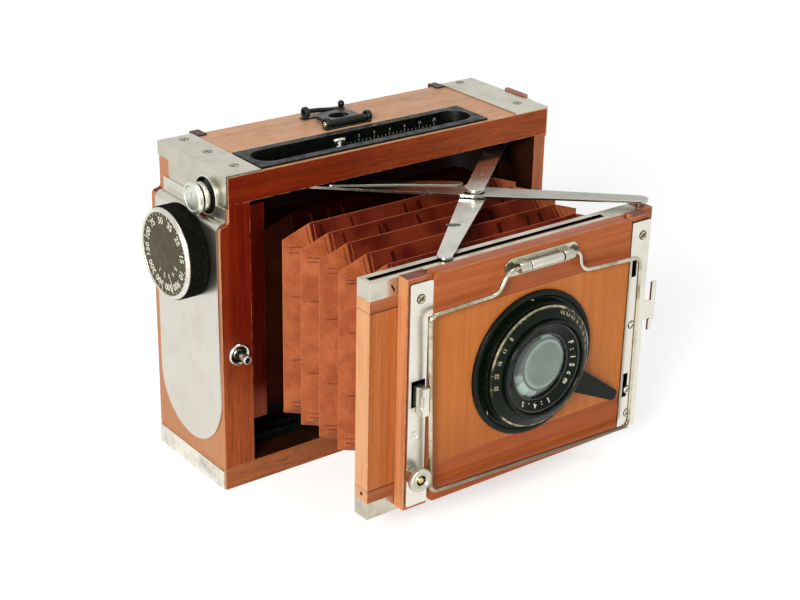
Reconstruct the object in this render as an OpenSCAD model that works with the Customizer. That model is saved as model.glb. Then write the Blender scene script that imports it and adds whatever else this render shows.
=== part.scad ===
// Folding plate camera: a wooden body, a front standard on crossed struts, a leather
// bellows, a focal-plane shutter behind it and a barrel lens on a rising board.
// The origin is the mouth of the tripod socket. The lens looks along -Y and +Z is up.

/* [Body] */
// Width of the body between its upper ends
body_w = 164; // [156:1:172]
// Depth of the body from front to back
body_d = 54; // [52:1:60]
// Height of the body
body_h = 137; // [134:1:142]
// Thickness of the top board
top_board_t = 11.4; // [9.5:0.1:12]
// Thickness of the bottom board
bottom_board_t = 10.3; // [9.5:0.1:12]
// Thickness of the left end board above its step
left_board_t = 9.7; // [9.2:0.1:10.5]
// Thickness of the right end board
right_board_t = 6.6; // [6:0.1:7.4]
// How far the lower left end stands out past the upper one
end_step = 4.2; // [3.4:0.1:5]
// Drop from the top of the body to the start of the step
step_drop = 17.6; // [16.6:0.1:18.6]
// Thickness of the sheet metal on the corners
corner_plate_t = 0.8; // [0.5:0.1:1.2]
// Width of the left upper corner plate on the top
corner_plate_w = 15.4; // [12:0.1:18]
// Width of the right upper corner plate on the top
right_plate_w = 17.8; // [14:0.1:19]
// Height of the lower corner plates on the ends
foot_plate_h = 8.8; // [6:0.1:9.2]
// Thickness of the cover plate on the left end
cover_plate_t = 1.2; // [0.8:0.1:1.4]
// Width of the cover plate from front to back
cover_plate_w = 48; // [44:1:50]
// Height of the centre of the cover plate's round lower end
cover_round_z = 40; // [36:1:46]
// Radius of the heads of the corner screws
screw_head_r = 1.7; // [1.2:0.1:2]

/* [Focus scale] */
// Bare wood left of the black scale tray on the top
tray_margin = 16.2; // [15.6:0.1:20]
// Bare wood right of the black scale tray on the top
tray_right_margin = 32.8; // [30:0.1:36]
// Width of the scale tray
tray_w = 21.4; // [19:0.1:23]
// Width of the sunken part of the tray
tray_hollow_w = 14.2; // [12:0.1:15]
// Depth of the sunken part of the tray
tray_hollow_d = 5; // [4:0.1:6]
// Radius of the index pin
index_pin_r = 0.9; // [0.7:0.1:1.1]

/* [Standard] */
// Distance from the body's front to the standard's front when open
front_reach = 78.3; // [74:0.1:82]
// Room beside the standard, half of it on each side of the body's middle
side_room = 22; // [21:0.5:24]
// Room above the standard for the upper struts and their track
head_room = 7.8; // [7.8:0.1:9]
// Room below the standard for the lower struts and their track
foot_room = 9; // [8.8:0.1:10]
// Thickness of the standard
standard_t = 8.2; // [7.8:0.1:8.8]
// Height of the nickel rails on the standard
rail_h = 7.2; // [6.8:0.1:7.6]
// Wall of the nickel rails
rail_wall = 1; // [0.8:0.1:1.1]

/* [Struts] */
// Distance of the front pivots from the standard's right side
pivot_inset = 3.4; // [3:0.1:3.8]
// Thickness of the struts
strut_t = 1; // [0.8:0.1:1.1]
// Width of the struts where they cross
strut_mid_w = 10.6; // [9:0.1:10.8]
// Width of the struts at their feet
strut_end_w = 6; // [5:0.1:7]
// Radius of the crossing pin
cross_pin_r = 3; // [2.5:0.1:3.2]
// Radius of the pins at the ends of the struts
end_pin_r = 1.6; // [1.3:0.1:1.8]

/* [Panel] */
// How much narrower than the standard the cross-sliding panel is
panel_margin = 19.6; // [18:0.1:22]
// How far the panel slides to the left
slide_left = 8; // [6:0.5:8]
// How far the panel slides to the right
slide_right = 4; // [3:0.5:4]
// Sideways place of the panel's centre at rest
panel_shift = 2.9; // [1:0.1:4]
// Thickness of the panel in front of the standard
panel_t = 6.8; // [6.4:0.1:7.2]
// Width of the panel's wooden stiles
stile_w = 11.2; // [10.6:0.1:11.8]
// Thickness of the lens board
lens_board_t = 6; // [5.4:0.1:6.2]
// Thickness of the nickel strips on the stiles
strip_t = 1; // [0.6:0.1:1.2]
// How far the lens board rises
rise = 5; // [3:0.5:5]

/* [Lens] */
// Sideways place of the lens axis
lens_x = 3; // [2:0.1:4]
// Height of the lens axis above the standard's middle
lens_up = 0.75; // [0:0.05:2]
// Radius of the lens barrel
barrel_r = 23.9; // [23:0.1:24.2]
// Width of the lens flange around the barrel
flange_w = 6.4; // [5.8:0.1:7]
// Radius of the front bezel
bezel_r = 20.3; // [19:0.1:21]
// Radius of the front glass
glass_r = 13.5; // [12:0.1:14]
// Length of the focusing lever from the lens axis
lever_l = 51.5; // [50:0.5:52]

/* [Finder] */
// Radius of the wire of the frame finder
wire_r = 1; // [0.8:0.1:1.1]
// Distance of the wire's plane in front of the lens board
wire_stand = 3.1; // [3:0.1:3.4]

/* [Bellows] */
// Distance from one ridge of the bellows to the next
pleat_pitch = 13; // [12.6:0.1:13.2]
// Depth of each pleat
pleat_depth = 9; // [7:0.5:10]
// How much narrower than the standard the bellows is across its ridges
bellows_margin = 20; // [18:1:24]
// Thickness of the bellows leather
leather_t = 0.9; // [0.6:0.1:1.2]

/* [Controls] */
// Radius of the speed dial
dial_r = 19.4; // [18:0.1:20]
// Thickness of the speed dial
dial_t = 9.9; // [8:0.1:11]
// Radius of the tension knob
knob_r = 6.6; // [6:0.1:6.8]
// Length of the release plunger in front of the body
plunger_reach = 8; // [7:0.5:10]
// Teeth on the gear of the dial arbor
dial_teeth = 30; // [29:1:31]
// Teeth on the pinion of the winding roller
pinion_teeth = 14; // [14:1:15]

/* [Shutter and back] */
// Radius of the two shutter rollers
roller_r = 5; // [4.4:0.1:5.2]
// Half the body's width beside the picture opening
picture_side = 48; // [46:1:54]
// Body height above and below the picture opening
picture_ends = 53; // [52:1:57]
// Thickness of the wooden back frame
back_t = 7.4; // [7:0.1:8]
// Bore radius of the tripod bush, a 3/8 inch thread
tripod_r = 3.97; // [3.9:0.01:4.1]

/* [Handle] */
// Width of the handle strap
strap_w = 14; // [12:0.5:16]
// Clear gap under the handle strap
strap_gap = 5.2; // [4.8:0.1:6]
// Thickness of the handle strap
strap_t = 2.4; // [2:0.1:3]

/* [Hidden] */

wood = "#b5562c";
wood_light = "#c8783c";
nickel = "#c9c6b8";
black = "#1c1e1c";
brass = "#b9934f";
leather = "#8a3a22";
$fn = 64;

running = 0.05;
slip = 0.25;
eps = 0.01;

// Body faces
half_w = body_w / 2;
front_y = -body_d / 2;
back_y = body_d / 2;
low_x = -half_w - end_step;
inner_left = -half_w + left_board_t;
inner_right = half_w - right_board_t;
inner_top = body_h - top_board_t;
inner_bottom = bottom_board_t;
board_inset = 0.4;
board_face = half_w - board_inset;
step_r = end_step / 2;
step_z = body_h - step_drop - end_step;
step_mid_x = -half_w - step_r;
corner_flange = step_drop - 4.6;
bush_r = tripod_r + 4;

// Standard
standard_w = body_w - side_room;
std_front = front_y - front_reach;
std_back = std_front + standard_t;
std_mid_y = (std_front + std_back) / 2;
std_bottom = inner_bottom + foot_room;
std_top = inner_top - head_room;
std_half = standard_w / 2;
mirror_z = (std_top + std_bottom) / 2;
rail_end_x = std_half - 6.6;
rail_roof = 1.2;
slot_half = 1.4;
slot_x1 = std_half - 24;
shoe_r = 2.4;
shoe_t = 1.2;
foot_pin_r = 1.1;

// Struts: the rear line, the front line and the opening angle
strut_gap = 0.5;
pivot_x = std_half - pivot_inset;
strut_l = 2 * pivot_x - 0.8;
rear_line = front_y + 14.4;
front_line = std_mid_y;
open_angle = asin((rear_line - front_line) / strut_l);
half_strut = strut_l / 2;
foot_x = pivot_x - strut_l * cos(open_angle);
closed_gap = 3.5;
fold_angle = open_angle - asin(closed_gap / strut_l);
closed_foot_x = pivot_x - strut_l * cos(open_angle - fold_angle);
slot_x0 = closed_foot_x - 1.9;
strut_z1 = std_top + strut_gap;
strut_z2 = strut_z1 + strut_t + strut_gap;
strut_z3 = strut_z2 + strut_t + strut_gap;
track_z = strut_z3 + strut_t + strut_gap;
track_x0 = closed_foot_x - 5;
track_x1 = pivot_x + 5;
track_lip = 0.7;
track_w = 7.2;
track_cavity_w = 5.6;
index_offset = 13.5;
index_y = rear_line - 0.4;
index_top = body_h - 1.4;

// Panel
panel_w = standard_w - panel_margin;
panel_x0 = panel_shift - panel_w / 2;
panel_x1 = panel_shift + panel_w / 2;
panel_front = std_front - panel_t;
panel_bottom = std_bottom + 2.7;
panel_top = std_top + 0.6;
stile_front = panel_front + strip_t;
right_stile_x0 = panel_x1 - stile_w + 2 * slip;
boss_w = 3;
board_x0 = panel_x0 + stile_w + slip;
board_x1 = right_stile_x0 - slip;
board_z0 = panel_bottom + 0.4;
board_back = panel_front + lens_board_t;
plate_front = std_front + rail_wall + 0.2;
plate_t = 1.4;
plate_lap = 1.8;
plate_room = std_front + rail_wall + plate_t + 0.5;
groove_d = 2.3;
groove_y0 = board_back - 3.3;
groove_y1 = board_back - 0.4;
tongue_l = 2;
fitting_z = mirror_z + 0.45;

// Lens stack along the axis
lens_z = mirror_z + lens_up;
flange_t = 1.7;
flange_r = barrel_r + flange_w;
flange_screw_ring = barrel_r + flange_w / 2 + 0.5;
flange_front = panel_front - flange_t;
flange_screw_r = 1.3;
ring_back = flange_front - 0.2;
ring_t = 2.4;
ring_front = ring_back - ring_t;
ring_r = barrel_r + 2.3;
scale_back = ring_front - 0.2;
scale_t = 2.6;
scale_front = scale_back - scale_t;
scale_r = barrel_r + 1.5;
bezel_front = scale_front - 1.9;
bezel_wall = 1;
barrel_back = board_back + 8;
barrel_wall = 2;
lever_angle = -30.8;

// Finder: the wire's corners, from the hinge round to the hinge again
wire_y = panel_front - wire_stand;
hinge_x = (board_x0 + board_x1) / 2 + 1.75;
hinge_z = panel_top - 5.7;
hinge_l = 37;
hinge_h = 7.4;
hinge_plate_t = 1;
knuckle_r = wire_r + 1;
knuckle_l = 5;
sleeve_l = 16;
wire_path = [[hinge_x - 18.9, hinge_z], [hinge_x - 22.9, hinge_z - 8.3],
    [board_x0 - 3.75, panel_top - 14.7], [board_x0 - 1.35, board_z0 + 6.4],
    [board_x1 + 3.85, board_z0 + 3.2], [board_x1 + 3.05, panel_top - 16],
    [hinge_x + 21.6, hinge_z - 8.8], [hinge_x + 18.6, hinge_z - 6.4], [hinge_x + 17.6, hinge_z]];
catch_x = panel_x0 + 4.1;
catch_travel = 1.2;
lock_x = panel_x0 + 3.5;
lock_z = panel_bottom + 15.3;
lock_r = 4.9;
lock_stud_r = 2.2;
lock_reach = 6;

// Controls on the left end
dial_y = front_y + 25.1;
dial_z = body_h - 36.4;
dial_back = low_x - cover_plate_t - 0.3;
knob_y = dial_y - 8.9;
knob_z = body_h - 11.7;
knob_shaft_r = 1.5;
knob_recess_r = knob_r + 1.8;
shaft_r = 3;
journal_r = 2;
journal_l = 3.6;
gear_module = 1;
gear_gap = 0.12;
gear_x = -half_w + 2.5;
gear_t = 3;
pinion_r = gear_module * pinion_teeth / 2;
dial_gear_r = gear_module * dial_teeth / 2;
gear_distance = dial_gear_r + pinion_r;
roller_z = body_h - 21;
roller_y = dial_y + sqrt(pow(gear_distance, 2) - pow(roller_z - dial_z, 2));
pocket_floor = -half_w + 6.2;
roller_gap = 0.4;
spring_z = inner_bottom + 10.7;
nipple_x = -half_w + 2.7;
nipple_z = body_h - 75.5;
nipple_r = 4.8;
plunger_r = 1.7;

// Back and picture opening
picture_w = body_w - picture_side;
picture_h = body_h - picture_ends;
picture_z = mirror_z;
curtain_t = 0.5;
curtain_y = roller_y + roller_r + 0.15;
curtain_side = 8;
guide_w = 6;
guide_x = picture_w / 2 + curtain_side + 1;
frame_t = 4;
frame_front = back_y - 27 - frame_t;
back_x0 = -half_w + 7;
back_x1 = half_w - 6;
back_z0 = 4.6;
back_z1 = body_h - 4.6;
glass_t = 2;
glass_lap = 2.3;
glass_groove_y = back_y + 2;
lid_t = 1.2;
lid_hinge_r = 1.3;
lid_z = inner_bottom + 3.2;
lid_y = back_y + back_t + lid_hinge_r + 0.4;
lid_w = picture_w + 12;
lid_top = picture_z + picture_h / 2 + 11.4;
lug_w = 4.7;
sight_x0 = -16;
sight_x1 = 5.5;
sight_y0 = back_y - 25;
sight_y1 = back_y - 7.6;
sight_rod_r = 1.3;
sight_ear_r = 2.3;
strap_z0 = 14;
strap_z1 = body_h + 1.6;
strap_tab = 11;
strap_bend = 16;
strap_y = front_y + 23.5;
tray_x0 = -half_w + tray_margin;
tray_x1 = half_w - tray_right_margin;
tray_y0 = front_y + 1.6;
tray_mid_y = tray_y0 + tray_w / 2;
tray_floor_t = 1;

// Bellows: rings of eight points, ridge and valley in turn
bellows_w = standard_w - bellows_margin;
bellows_h = std_top - std_bottom - 12.3;
bellows_z = mirror_z + 1.45;
bellows_y0 = frame_front;
bellows_y1 = std_back + 0.1;
ridge_y0 = frame_front - 15.4;
ridges = floor((ridge_y0 - bellows_y1 - 9) / pleat_pitch) + 1;
chamfer_x = 13;
chamfer_z = 4.6;
end_inset = 3;
bellows_window_w = bellows_w - 2 * pleat_depth - 3;
bellows_window_h = bellows_h - 2 * pleat_depth - 0.6;

// A box from its lowest corner to its highest
module box(low, high) {
    translate(low) cube(high - low);
}

module rod_x(r, x0, x1, y, z) {
    translate([x0, y, z]) rotate([0, 90, 0]) cylinder(r = r, h = x1 - x0);
}

module rod_y(r, y0, y1, x, z) {
    translate([x, y1, z]) rotate([90, 0, 0]) cylinder(r = r, h = y1 - y0);
}

module rod_z(r, z0, z1, x, y) {
    translate([x, y, z0]) cylinder(r = r, h = z1 - z0);
}

// A flat outline in X and Z, extruded from y0 to y1
module slab_y(y0, y1) {
    translate([0, y1, 0]) rotate([90, 0, 0]) linear_extrude(y1 - y0) children();
}

// A turned shape about the lens axis: points are radius and y
module lathe_y(points) {
    translate([lens_x, 0, lens_z]) rotate([90, 0, 0]) rotate_extrude()
        polygon([for (p = points) [p[0], -p[1]]]);
}

module rounded_rect(x0, z0, x1, z1, r) {
    union() {
        translate([x0 + r, z0]) square([x1 - x0 - 2 * r, z1 - z0]);
        translate([x0, z0 + r]) square([x1 - x0, z1 - z0 - 2 * r]);
        for (x = [x0 + r, x1 - r], z = [z0 + r, z1 - r])
            translate([x, z]) circle(r);
    }
}

module stadium(x0, x1, y, w) {
    union() {
        translate([x0 + w / 2, y - w / 2]) square([x1 - x0 - w, w]);
        translate([x0 + w / 2, y]) circle(w / 2);
        translate([x1 - w / 2, y]) circle(w / 2);
    }
}

// The outer face of the stepped left end, grown outwards by out
function arc(cx, cz, r, a0, a1, n) =
    [for (i = [0 : n]) [cx + r * cos(a0 + (a1 - a0) * i / n), cz + r * sin(a0 + (a1 - a0) * i / n)]];

function end_line(out, z0, z1) = concat(
    [[low_x - out, z0]],
    arc(step_mid_x, step_z, step_r + out, 180, 90, 6),
    arc(step_mid_x, step_z + 2 * step_r, step_r - out, 270, 360, 6),
    [[-half_w - out, z1]]);

module end_section(out, z0, z1, x1) {
    polygon(concat(end_line(out, z0, z1), [[x1, z1], [x1, z0]]));
}

// Involute gear outline with its first tooth along +X
function involute(r, t) = [r * (cos(t) + t * PI / 180 * sin(t)), r * (sin(t) - t * PI / 180 * cos(t))];
function turn(p, a) = [p[0] * cos(a) - p[1] * sin(a), p[0] * sin(a) + p[1] * cos(a)];
function flank(base, r) = r <= base ? 0 : sqrt(pow(r / base, 2) - 1) * 180 / PI;

module gear_outline(teeth, twist) {
    pitch = gear_module * teeth / 2;
    base = pitch * cos(20);
    tip = pitch + 0.9 * gear_module;
    root = pitch - 1.2 * gear_module;
    at_pitch = flank(base, pitch);
    half = 90 / teeth - gear_gap / pitch * 180 / PI + (at_pitch - atan(at_pitch * PI / 180));
    top = flank(base, tip);
    start = flank(base, max(root, base));
    foot = min(root / base, 1);
    steps = 4;
    polygon([for (i = [0 : teeth - 1]) let (a = 360 * i / teeth + twist)
        each concat(
            [turn([foot * base * cos(half), -foot * base * sin(half)], a)],
            [for (k = [0 : steps]) turn(involute(base, start + (top - start) * k / steps), a - half)],
            [for (k = [steps : -1 : 0])
                let (p = involute(base, start + (top - start) * k / steps)) turn([p[0], -p[1]], a + half)],
            [turn([foot * base * cos(half), foot * base * sin(half)], a)])]);
}

module gear_x_axis(teeth, twist, y, z) {
    translate([gear_x, y, z]) rotate([90, 0, 90]) linear_extrude(gear_t) gear_outline(teeth, twist);
}

// A tapered strap along +X with round ends
module strap(l, w0, w1, z0) {
    translate([0, 0, z0]) linear_extrude(strut_t) union() {
        polygon([[0, -w0 / 2], [l, -w1 / 2], [l, w1 / 2], [0, w0 / 2]]);
        circle(w0 / 2);
        translate([l, 0]) circle(w1 / 2);
    }
}

module lower_twin() {
    translate([0, 0, 2 * mirror_z]) mirror([0, 0, 1]) children();
}

// Wooden body

module knob_hole() {
    rod_x(knob_shaft_r + running, -half_w - 1, -half_w + 8, knob_y, knob_z);
    rod_x(knob_recess_r, -half_w - 1, -half_w + 1.5, knob_y, knob_z);
}

module tray_bowl() {
    depth = tray_hollow_d + tray_floor_t;
    translate([0, 0, body_h - depth]) linear_extrude(depth + eps)
        stadium(tray_x0 + 2, tray_x1 - 2, tray_mid_y, tray_hollow_w + 2 * tray_floor_t);
}

module index_slot(z0, z1) {
    slot_start = closed_foot_x + index_offset - 2.5;
    slot_end = foot_x + index_offset + 2.5;
    translate([0, 0, z0]) linear_extrude(z1 - z0)
        stadium(slot_start, slot_end, index_y, 2 * index_pin_r + 1.2);
}

module top_board() {
    color(wood) difference() {
        box([-half_w, front_y, inner_top], [half_w, back_y, body_h]);
        tray_bowl();
        index_slot(inner_top - 1, body_h);
        knob_hole();
    }
}

module bottom_board() {
    color(wood) difference() {
        union() {
            box([-half_w, front_y, 0], [half_w, back_y, inner_bottom]);
            box([low_x, front_y, 0], [-half_w + eps, back_y, inner_bottom]);
        }
        rod_z(bush_r, -1, inner_bottom + 1, 0, 0);
        foot_plate_shapes();
    }
}

module gear_pocket() {
    rod_x(dial_gear_r + 1.9 * gear_module, low_x - 3, pocket_floor, dial_y, dial_z);
    rod_x(pinion_r + 1.2 * gear_module, low_x - 3, pocket_floor, roller_y, roller_z);
}

module left_end_board() {
    color(wood) difference() {
        slab_y(front_y, back_y) end_section(0, inner_bottom, inner_top, inner_left);
        gear_pocket();
        rod_x(journal_r + running, pocket_floor - 1, inner_left + 1, roller_y, roller_z);
        rod_x(journal_r + running, pocket_floor - 1, pocket_floor + 2.3, dial_y, dial_z);
        rod_x(journal_r + running, inner_left - 4, inner_left + 1, roller_y, spring_z);
        knob_hole();
        rod_y(plunger_r + 0.8, front_y - 1, front_y + 14, nipple_x, nipple_z);
    }
}

module right_end_board() {
    color(wood) difference() {
        box([inner_right, front_y, inner_bottom], [half_w - board_inset, back_y, inner_top]);
        for (z = [roller_z, spring_z])
            rod_x(journal_r + running, inner_right - 1, inner_right + 4, roller_y, z);
    }
}

module upper_corner_plates() {
    color(nickel) difference() {
        union() {
            for (side = [-1, 1]) {
                edge = side * half_w;
                w = side < 0 ? corner_plate_w : right_plate_w;
                box([min(edge, edge - side * w), front_y + 0.3, body_h],
                    [max(edge, edge - side * w), back_y - 0.3, body_h + corner_plate_t]);
                box([min(edge, edge + side * corner_plate_t), front_y + 0.3, body_h - corner_flange],
                    [max(edge, edge + side * corner_plate_t), back_y - 0.3, body_h + corner_plate_t]);
            }
        }
        box([-half_w - 2, back_y - 9, body_h - corner_flange - 1], [-half_w + eps, back_y + 1, body_h - 5.2]);
        rod_x(knob_recess_r, -half_w - 2, -half_w + 1, knob_y, knob_z);
        corner_screw_places() cylinder(r = screw_head_r + running, h = 3, center = true);
    }
}

module foot_plate_shapes() {
    for (side = [-1, 1]) {
        edge = side < 0 ? low_x : half_w;
        box([min(edge, edge - side * corner_plate_w), front_y + 0.8, 0],
            [max(edge, edge - side * corner_plate_w), back_y - 0.8, corner_plate_t]);
    }
}

module lower_corner_plates() {
    color(nickel) union() {
        foot_plate_shapes();
        for (side = [-1, 1]) {
            edge = side < 0 ? low_x : half_w;
            box([min(edge, edge + side * corner_plate_t), front_y + 0.8, 0],
                [max(edge, edge + side * corner_plate_t), back_y - 0.8, foot_plate_h]);
        }
    }
}

module corner_screw_places() {
    for (y = [front_y + 10, front_y + 30, back_y - 5.5])
        translate([-half_w + corner_plate_w - 6.5, y, body_h + corner_plate_t]) children();
    for (p = [[half_w - 8.6, back_y - 3.5], [half_w - 7.6, front_y + 11.4]])
        translate([p[0], p[1], body_h + corner_plate_t]) children();
}

module corner_screws() {
    color(nickel) difference() {
        corner_screw_places() translate([0, 0, -corner_plate_t])
            cylinder(r = screw_head_r, h = corner_plate_t);
        corner_screw_places() cube([2 * screw_head_r + 1, 0.5, 0.7], center = true);
    }
}

module cover_outline() {
    half = cover_plate_w / 2;
    translate([front_y + 1 + half, 0]) union() {
        translate([-half, cover_round_z]) square([cover_plate_w, body_h]);
        translate([0, cover_round_z]) circle(half);
    }
}

module cover_plate() {
    top_z = body_h - corner_flange;
    color(nickel) difference() {
        intersection() {
            slab_y(front_y, back_y) difference() {
                end_section(cover_plate_t, 0, top_z, -half_w);
                end_section(0, -1, top_z + 1, -half_w + 2);
            }
            translate([-half_w - 20, 0, 0]) rotate([90, 0, 90]) linear_extrude(40) cover_outline();
        }
        rod_x(knob_recess_r, -half_w - 4, -half_w + 1, knob_y, knob_z);
        rod_x(shaft_r + running, low_x - 3, low_x + 1, dial_y, dial_z);
    }
}

module focus_scale_tray() {
    rim_t = 1;
    color(black) difference() {
        union() {
            box([tray_x0, tray_y0, body_h], [tray_x1, tray_y0 + tray_w, body_h + rim_t]);
            tray_bowl();
        }
        translate([0, 0, body_h - tray_hollow_d]) linear_extrude(tray_hollow_d + rim_t + 1)
            stadium(tray_x0 + 3, tray_x1 - 3, tray_mid_y, tray_hollow_w);
        index_slot(body_h - tray_hollow_d - 2, body_h);
    }
}

// The wooden partition that the bellows hangs from
module bellows_frame() {
    color(wood) difference() {
        box([inner_left, frame_front, inner_bottom], [inner_right, frame_front + frame_t, inner_top]);
        slab_y(frame_front - 1, frame_front + frame_t + 1)
            rounded_rect(-bellows_w / 2 + 4.5, bellows_z - bellows_h / 2 + 4.6,
                bellows_w / 2 - 4.5, bellows_z + bellows_h / 2 - 4.6, 3);
    }
}

// Two upright channels that guide the edges of the curtain
module shutter_guides() {
    half = guide_w / 2;
    color(black) for (side = [-1, 1]) difference() {
        box([side * guide_x - half, curtain_y - 2, inner_bottom], [side * guide_x + half, back_y, inner_top]);
        box([side * (guide_x - 1) - half, curtain_y - 0.4, spring_z - 6],
            [side * (guide_x - 1) + half, curtain_y + curtain_t + 0.4, roller_z + 6]);
        for (z = [roller_z, spring_z])
            rod_x(roller_r + 0.6, side * guide_x - half - 1, side * guide_x + half + 1, roller_y, z);
    }
}

module shutter_curtain() {
    half = picture_w / 2 + curtain_side;
    slit = 4;
    color(black) difference() {
        box([-half, curtain_y, spring_z], [half, curtain_y + curtain_t, roller_z]);
        box([-picture_w / 2, curtain_y - 1, picture_z - slit],
            [picture_w / 2, curtain_y + 1, picture_z + slit]);
    }
}

// Strut tracks: channels under the top board and on the bottom board
module upper_strut_track() {
    color(nickel) difference() {
        box([track_x0, rear_line - track_w / 2, track_z], [track_x1, rear_line + track_w / 2, inner_top]);
        box([track_x0 + 2, rear_line - track_cavity_w / 2, track_z + track_lip],
            [pivot_x - 5, rear_line + track_cavity_w / 2, inner_top + 1]);
        translate([0, 0, track_z - 1]) linear_extrude(3)
            stadium(closed_foot_x - 2, foot_x + 3, rear_line, 2 * slot_half);
        rod_z(end_pin_r + running, track_z - 1, inner_top - 0.6, pivot_x, rear_line);
    }
}

module lower_strut_track() {
    lower_top = 2 * mirror_z - track_z;
    color(nickel) difference() {
        box([track_x0, rear_line - track_w / 2, inner_bottom],
            [track_x1, rear_line + track_w / 2, lower_top]);
        box([track_x0 + 2, rear_line - track_cavity_w / 2, inner_bottom + 0.6],
            [pivot_x - 5, rear_line + track_cavity_w / 2, lower_top - track_lip]);
        translate([0, 0, lower_top - 3]) linear_extrude(4)
            stadium(closed_foot_x - 2, foot_x + 3, rear_line, 2 * slot_half);
        rod_z(end_pin_r + running, inner_bottom + 0.6, lower_top + 1, pivot_x, rear_line);
    }
}

// Release on the front of the left end board
module release_escutcheon() {
    color(nickel) translate([nipple_x, front_y, nipple_z]) rotate([90, 0, 0]) difference() {
        rotate_extrude() polygon([[plunger_r + running, 0], [nipple_r, 0], [nipple_r, 0.7],
            [nipple_r - 0.9, 1.7], [plunger_r + 1.6, 1.9], [plunger_r + running, 1.2]]);
    }
}

module release_plunger() {
    color(nickel) difference() {
        union() {
            rod_y(plunger_r, front_y - plunger_reach, front_y + 9, nipple_x, nipple_z);
            rod_y(plunger_r + 0.6, front_y + 5, front_y + 7, nipple_x, nipple_z);
        }
        rod_y(plunger_r - 0.6, front_y - plunger_reach - 1, front_y - 2, nipple_x, nipple_z);
    }
}

module tripod_bush() {
    color(brass) difference() {
        rod_z(bush_r, 0, inner_bottom - 0.2, 0, 0);
        rod_z(tripod_r, -1, inner_bottom - 1.3, 0, 0);
    }
}

// Folding peep sight on the top
module sight_base() {
    color(black) difference() {
        union() {
            box([sight_x0 + 5, sight_y0 + 1, body_h], [sight_x1 + 1, sight_y1, body_h + 1]);
            for (y = [sight_y0 - 1.5, sight_y1 - 2])
                box([sight_x0 - 1, y, body_h], [sight_x1 + 1, y + 3.5, body_h + 1]);
            for (x = [sight_x0, sight_x1]) rod_x(sight_ear_r, x - 1, x + 1, sight_y0, body_h + sight_ear_r);
            rod_x(sight_ear_r, sight_x0 - 1, sight_x0 + 1, sight_y1, body_h + sight_ear_r + 1);
            rod_x(sight_ear_r, sight_x1 - 5, sight_x1 - 3, sight_y1, body_h + sight_ear_r + 1);
            box([sight_x0 - 1, sight_y1 - 1, body_h], [sight_x0 + 1, sight_y1 + 1, body_h + 2]);
            box([sight_x1 - 5, sight_y1 - 1, body_h], [sight_x1 - 3, sight_y1 + 1, body_h + 2]);
        }
        for (x = [sight_x0, sight_x1])
            rod_x(sight_rod_r + running, x - 2, x + 2, sight_y0, body_h + sight_ear_r);
    }
}

module sight_leaf() {
    rod_z0 = body_h + sight_ear_r;
    color(black) difference() {
        union() {
            rod_x(sight_rod_r, sight_x0 - 1, sight_x1 + 1, sight_y0, rod_z0);
            box([sight_x0 + 2, sight_y0, rod_z0 - 0.4], [sight_x1 - 2, sight_y0 + 14, rod_z0 + 0.4]);
        }
        rod_z(3, body_h, body_h + 9, (sight_x0 + sight_x1) / 2, sight_y0 + 7);
    }
}

// Handle on the right end: the inner line of the strap leaves the body and comes back
function ease(t) = t <= 0 ? 0 : t >= 1 ? 1 : t * t * (3 - 2 * t);

function strap_inner(z) =
    let (low = board_face, high = half_w + corner_plate_t, out = board_face + strap_gap)
    z < body_h / 2
        ? low + (out - low) * ease((z - strap_z0 - strap_tab) / strap_bend)
        : high + (out - high) * ease((strap_z1 - strap_tab - z) / strap_bend);

module handle_strap() {
    steps = 44;
    heights = [for (i = [0 : steps]) strap_z0 + (strap_z1 - strap_z0) * i / steps];
    color(leather) slab_y(strap_y - strap_w / 2, strap_y + strap_w / 2) polygon(concat(
        [for (z = heights) [strap_inner(z), z]],
        [for (i = [steps : -1 : 0]) [strap_inner(heights[i]) + strap_t, heights[i]]]));
}

module strap_lug(face, z0) {
    wall = 1;
    half = strap_w / 2;
    difference() {
        box([face, strap_y - half - 2, z0], [face + strap_t + wall, strap_y + half + 2, z0 + 6]);
        box([face - 1, strap_y - half, z0 - 1], [face + strap_t, strap_y + half, z0 + 7]);
    }
}

module handle_lugs() {
    color(nickel) union() {
        strap_lug(board_face, strap_z0 + 1.5);
        strap_lug(half_w + corner_plate_t, strap_z1 - strap_tab + 3);
    }
}

// Back
module back_frame() {
    color(wood) difference() {
        union() {
            box([back_x0, back_y, back_z0], [back_x1, back_y + back_t, back_z1]);
            for (x = [-lid_w / 2 - lug_w - 0.3, lid_w / 2 + 0.3])
                box([x, back_y + back_t - 1, lid_z - 2.4], [x + lug_w, lid_y + 2.4, lid_z + 2.4]);
        }
        slab_y(back_y - 1, back_y + back_t + 1) rounded_rect(-picture_w / 2, picture_z - picture_h / 2,
            picture_w / 2, picture_z + picture_h / 2, 2);
        glass_block(0.2);
        rod_x(lid_hinge_r + running, -lid_w / 2 - lug_w - 1, lid_w / 2 + lug_w + 1, lid_y, lid_z);
    }
}

module ground_glass() {
    color("#d8e0dc") glass_block(0);
}

module glass_block(gap) {
    side = picture_w / 2 + glass_lap + gap;
    end = picture_h / 2 + glass_lap + gap;
    box([-side, glass_groove_y, picture_z - end], [side, glass_groove_y + glass_t + gap, picture_z + end]);
}

module back_lid() {
    face = back_y + back_t + 0.3;
    color(black) union() {
        box([-lid_w / 2, face, lid_z + lid_hinge_r - 0.4], [lid_w / 2, face + lid_t, lid_top]);
        rod_x(lid_hinge_r, -lid_w / 2 - lug_w + 0.2, lid_w / 2 + lug_w - 0.2, lid_y, lid_z);
        box([-lid_w / 2 + 1, face, lid_z], [lid_w / 2 - 1, lid_y, lid_z + 2]);
    }
}

module back_catches() {
    half = 2.2;
    color(black) for (x = [-half_w + 18.4, half_w - 20.2]) {
        box([x - half, back_y, back_z1 + 0.2], [x + half, back_y + 3, body_h + 0.8]);
        box([x - half, back_y - 4, body_h], [x + half, back_y + 3, body_h + 0.8]);
    }
}

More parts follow.
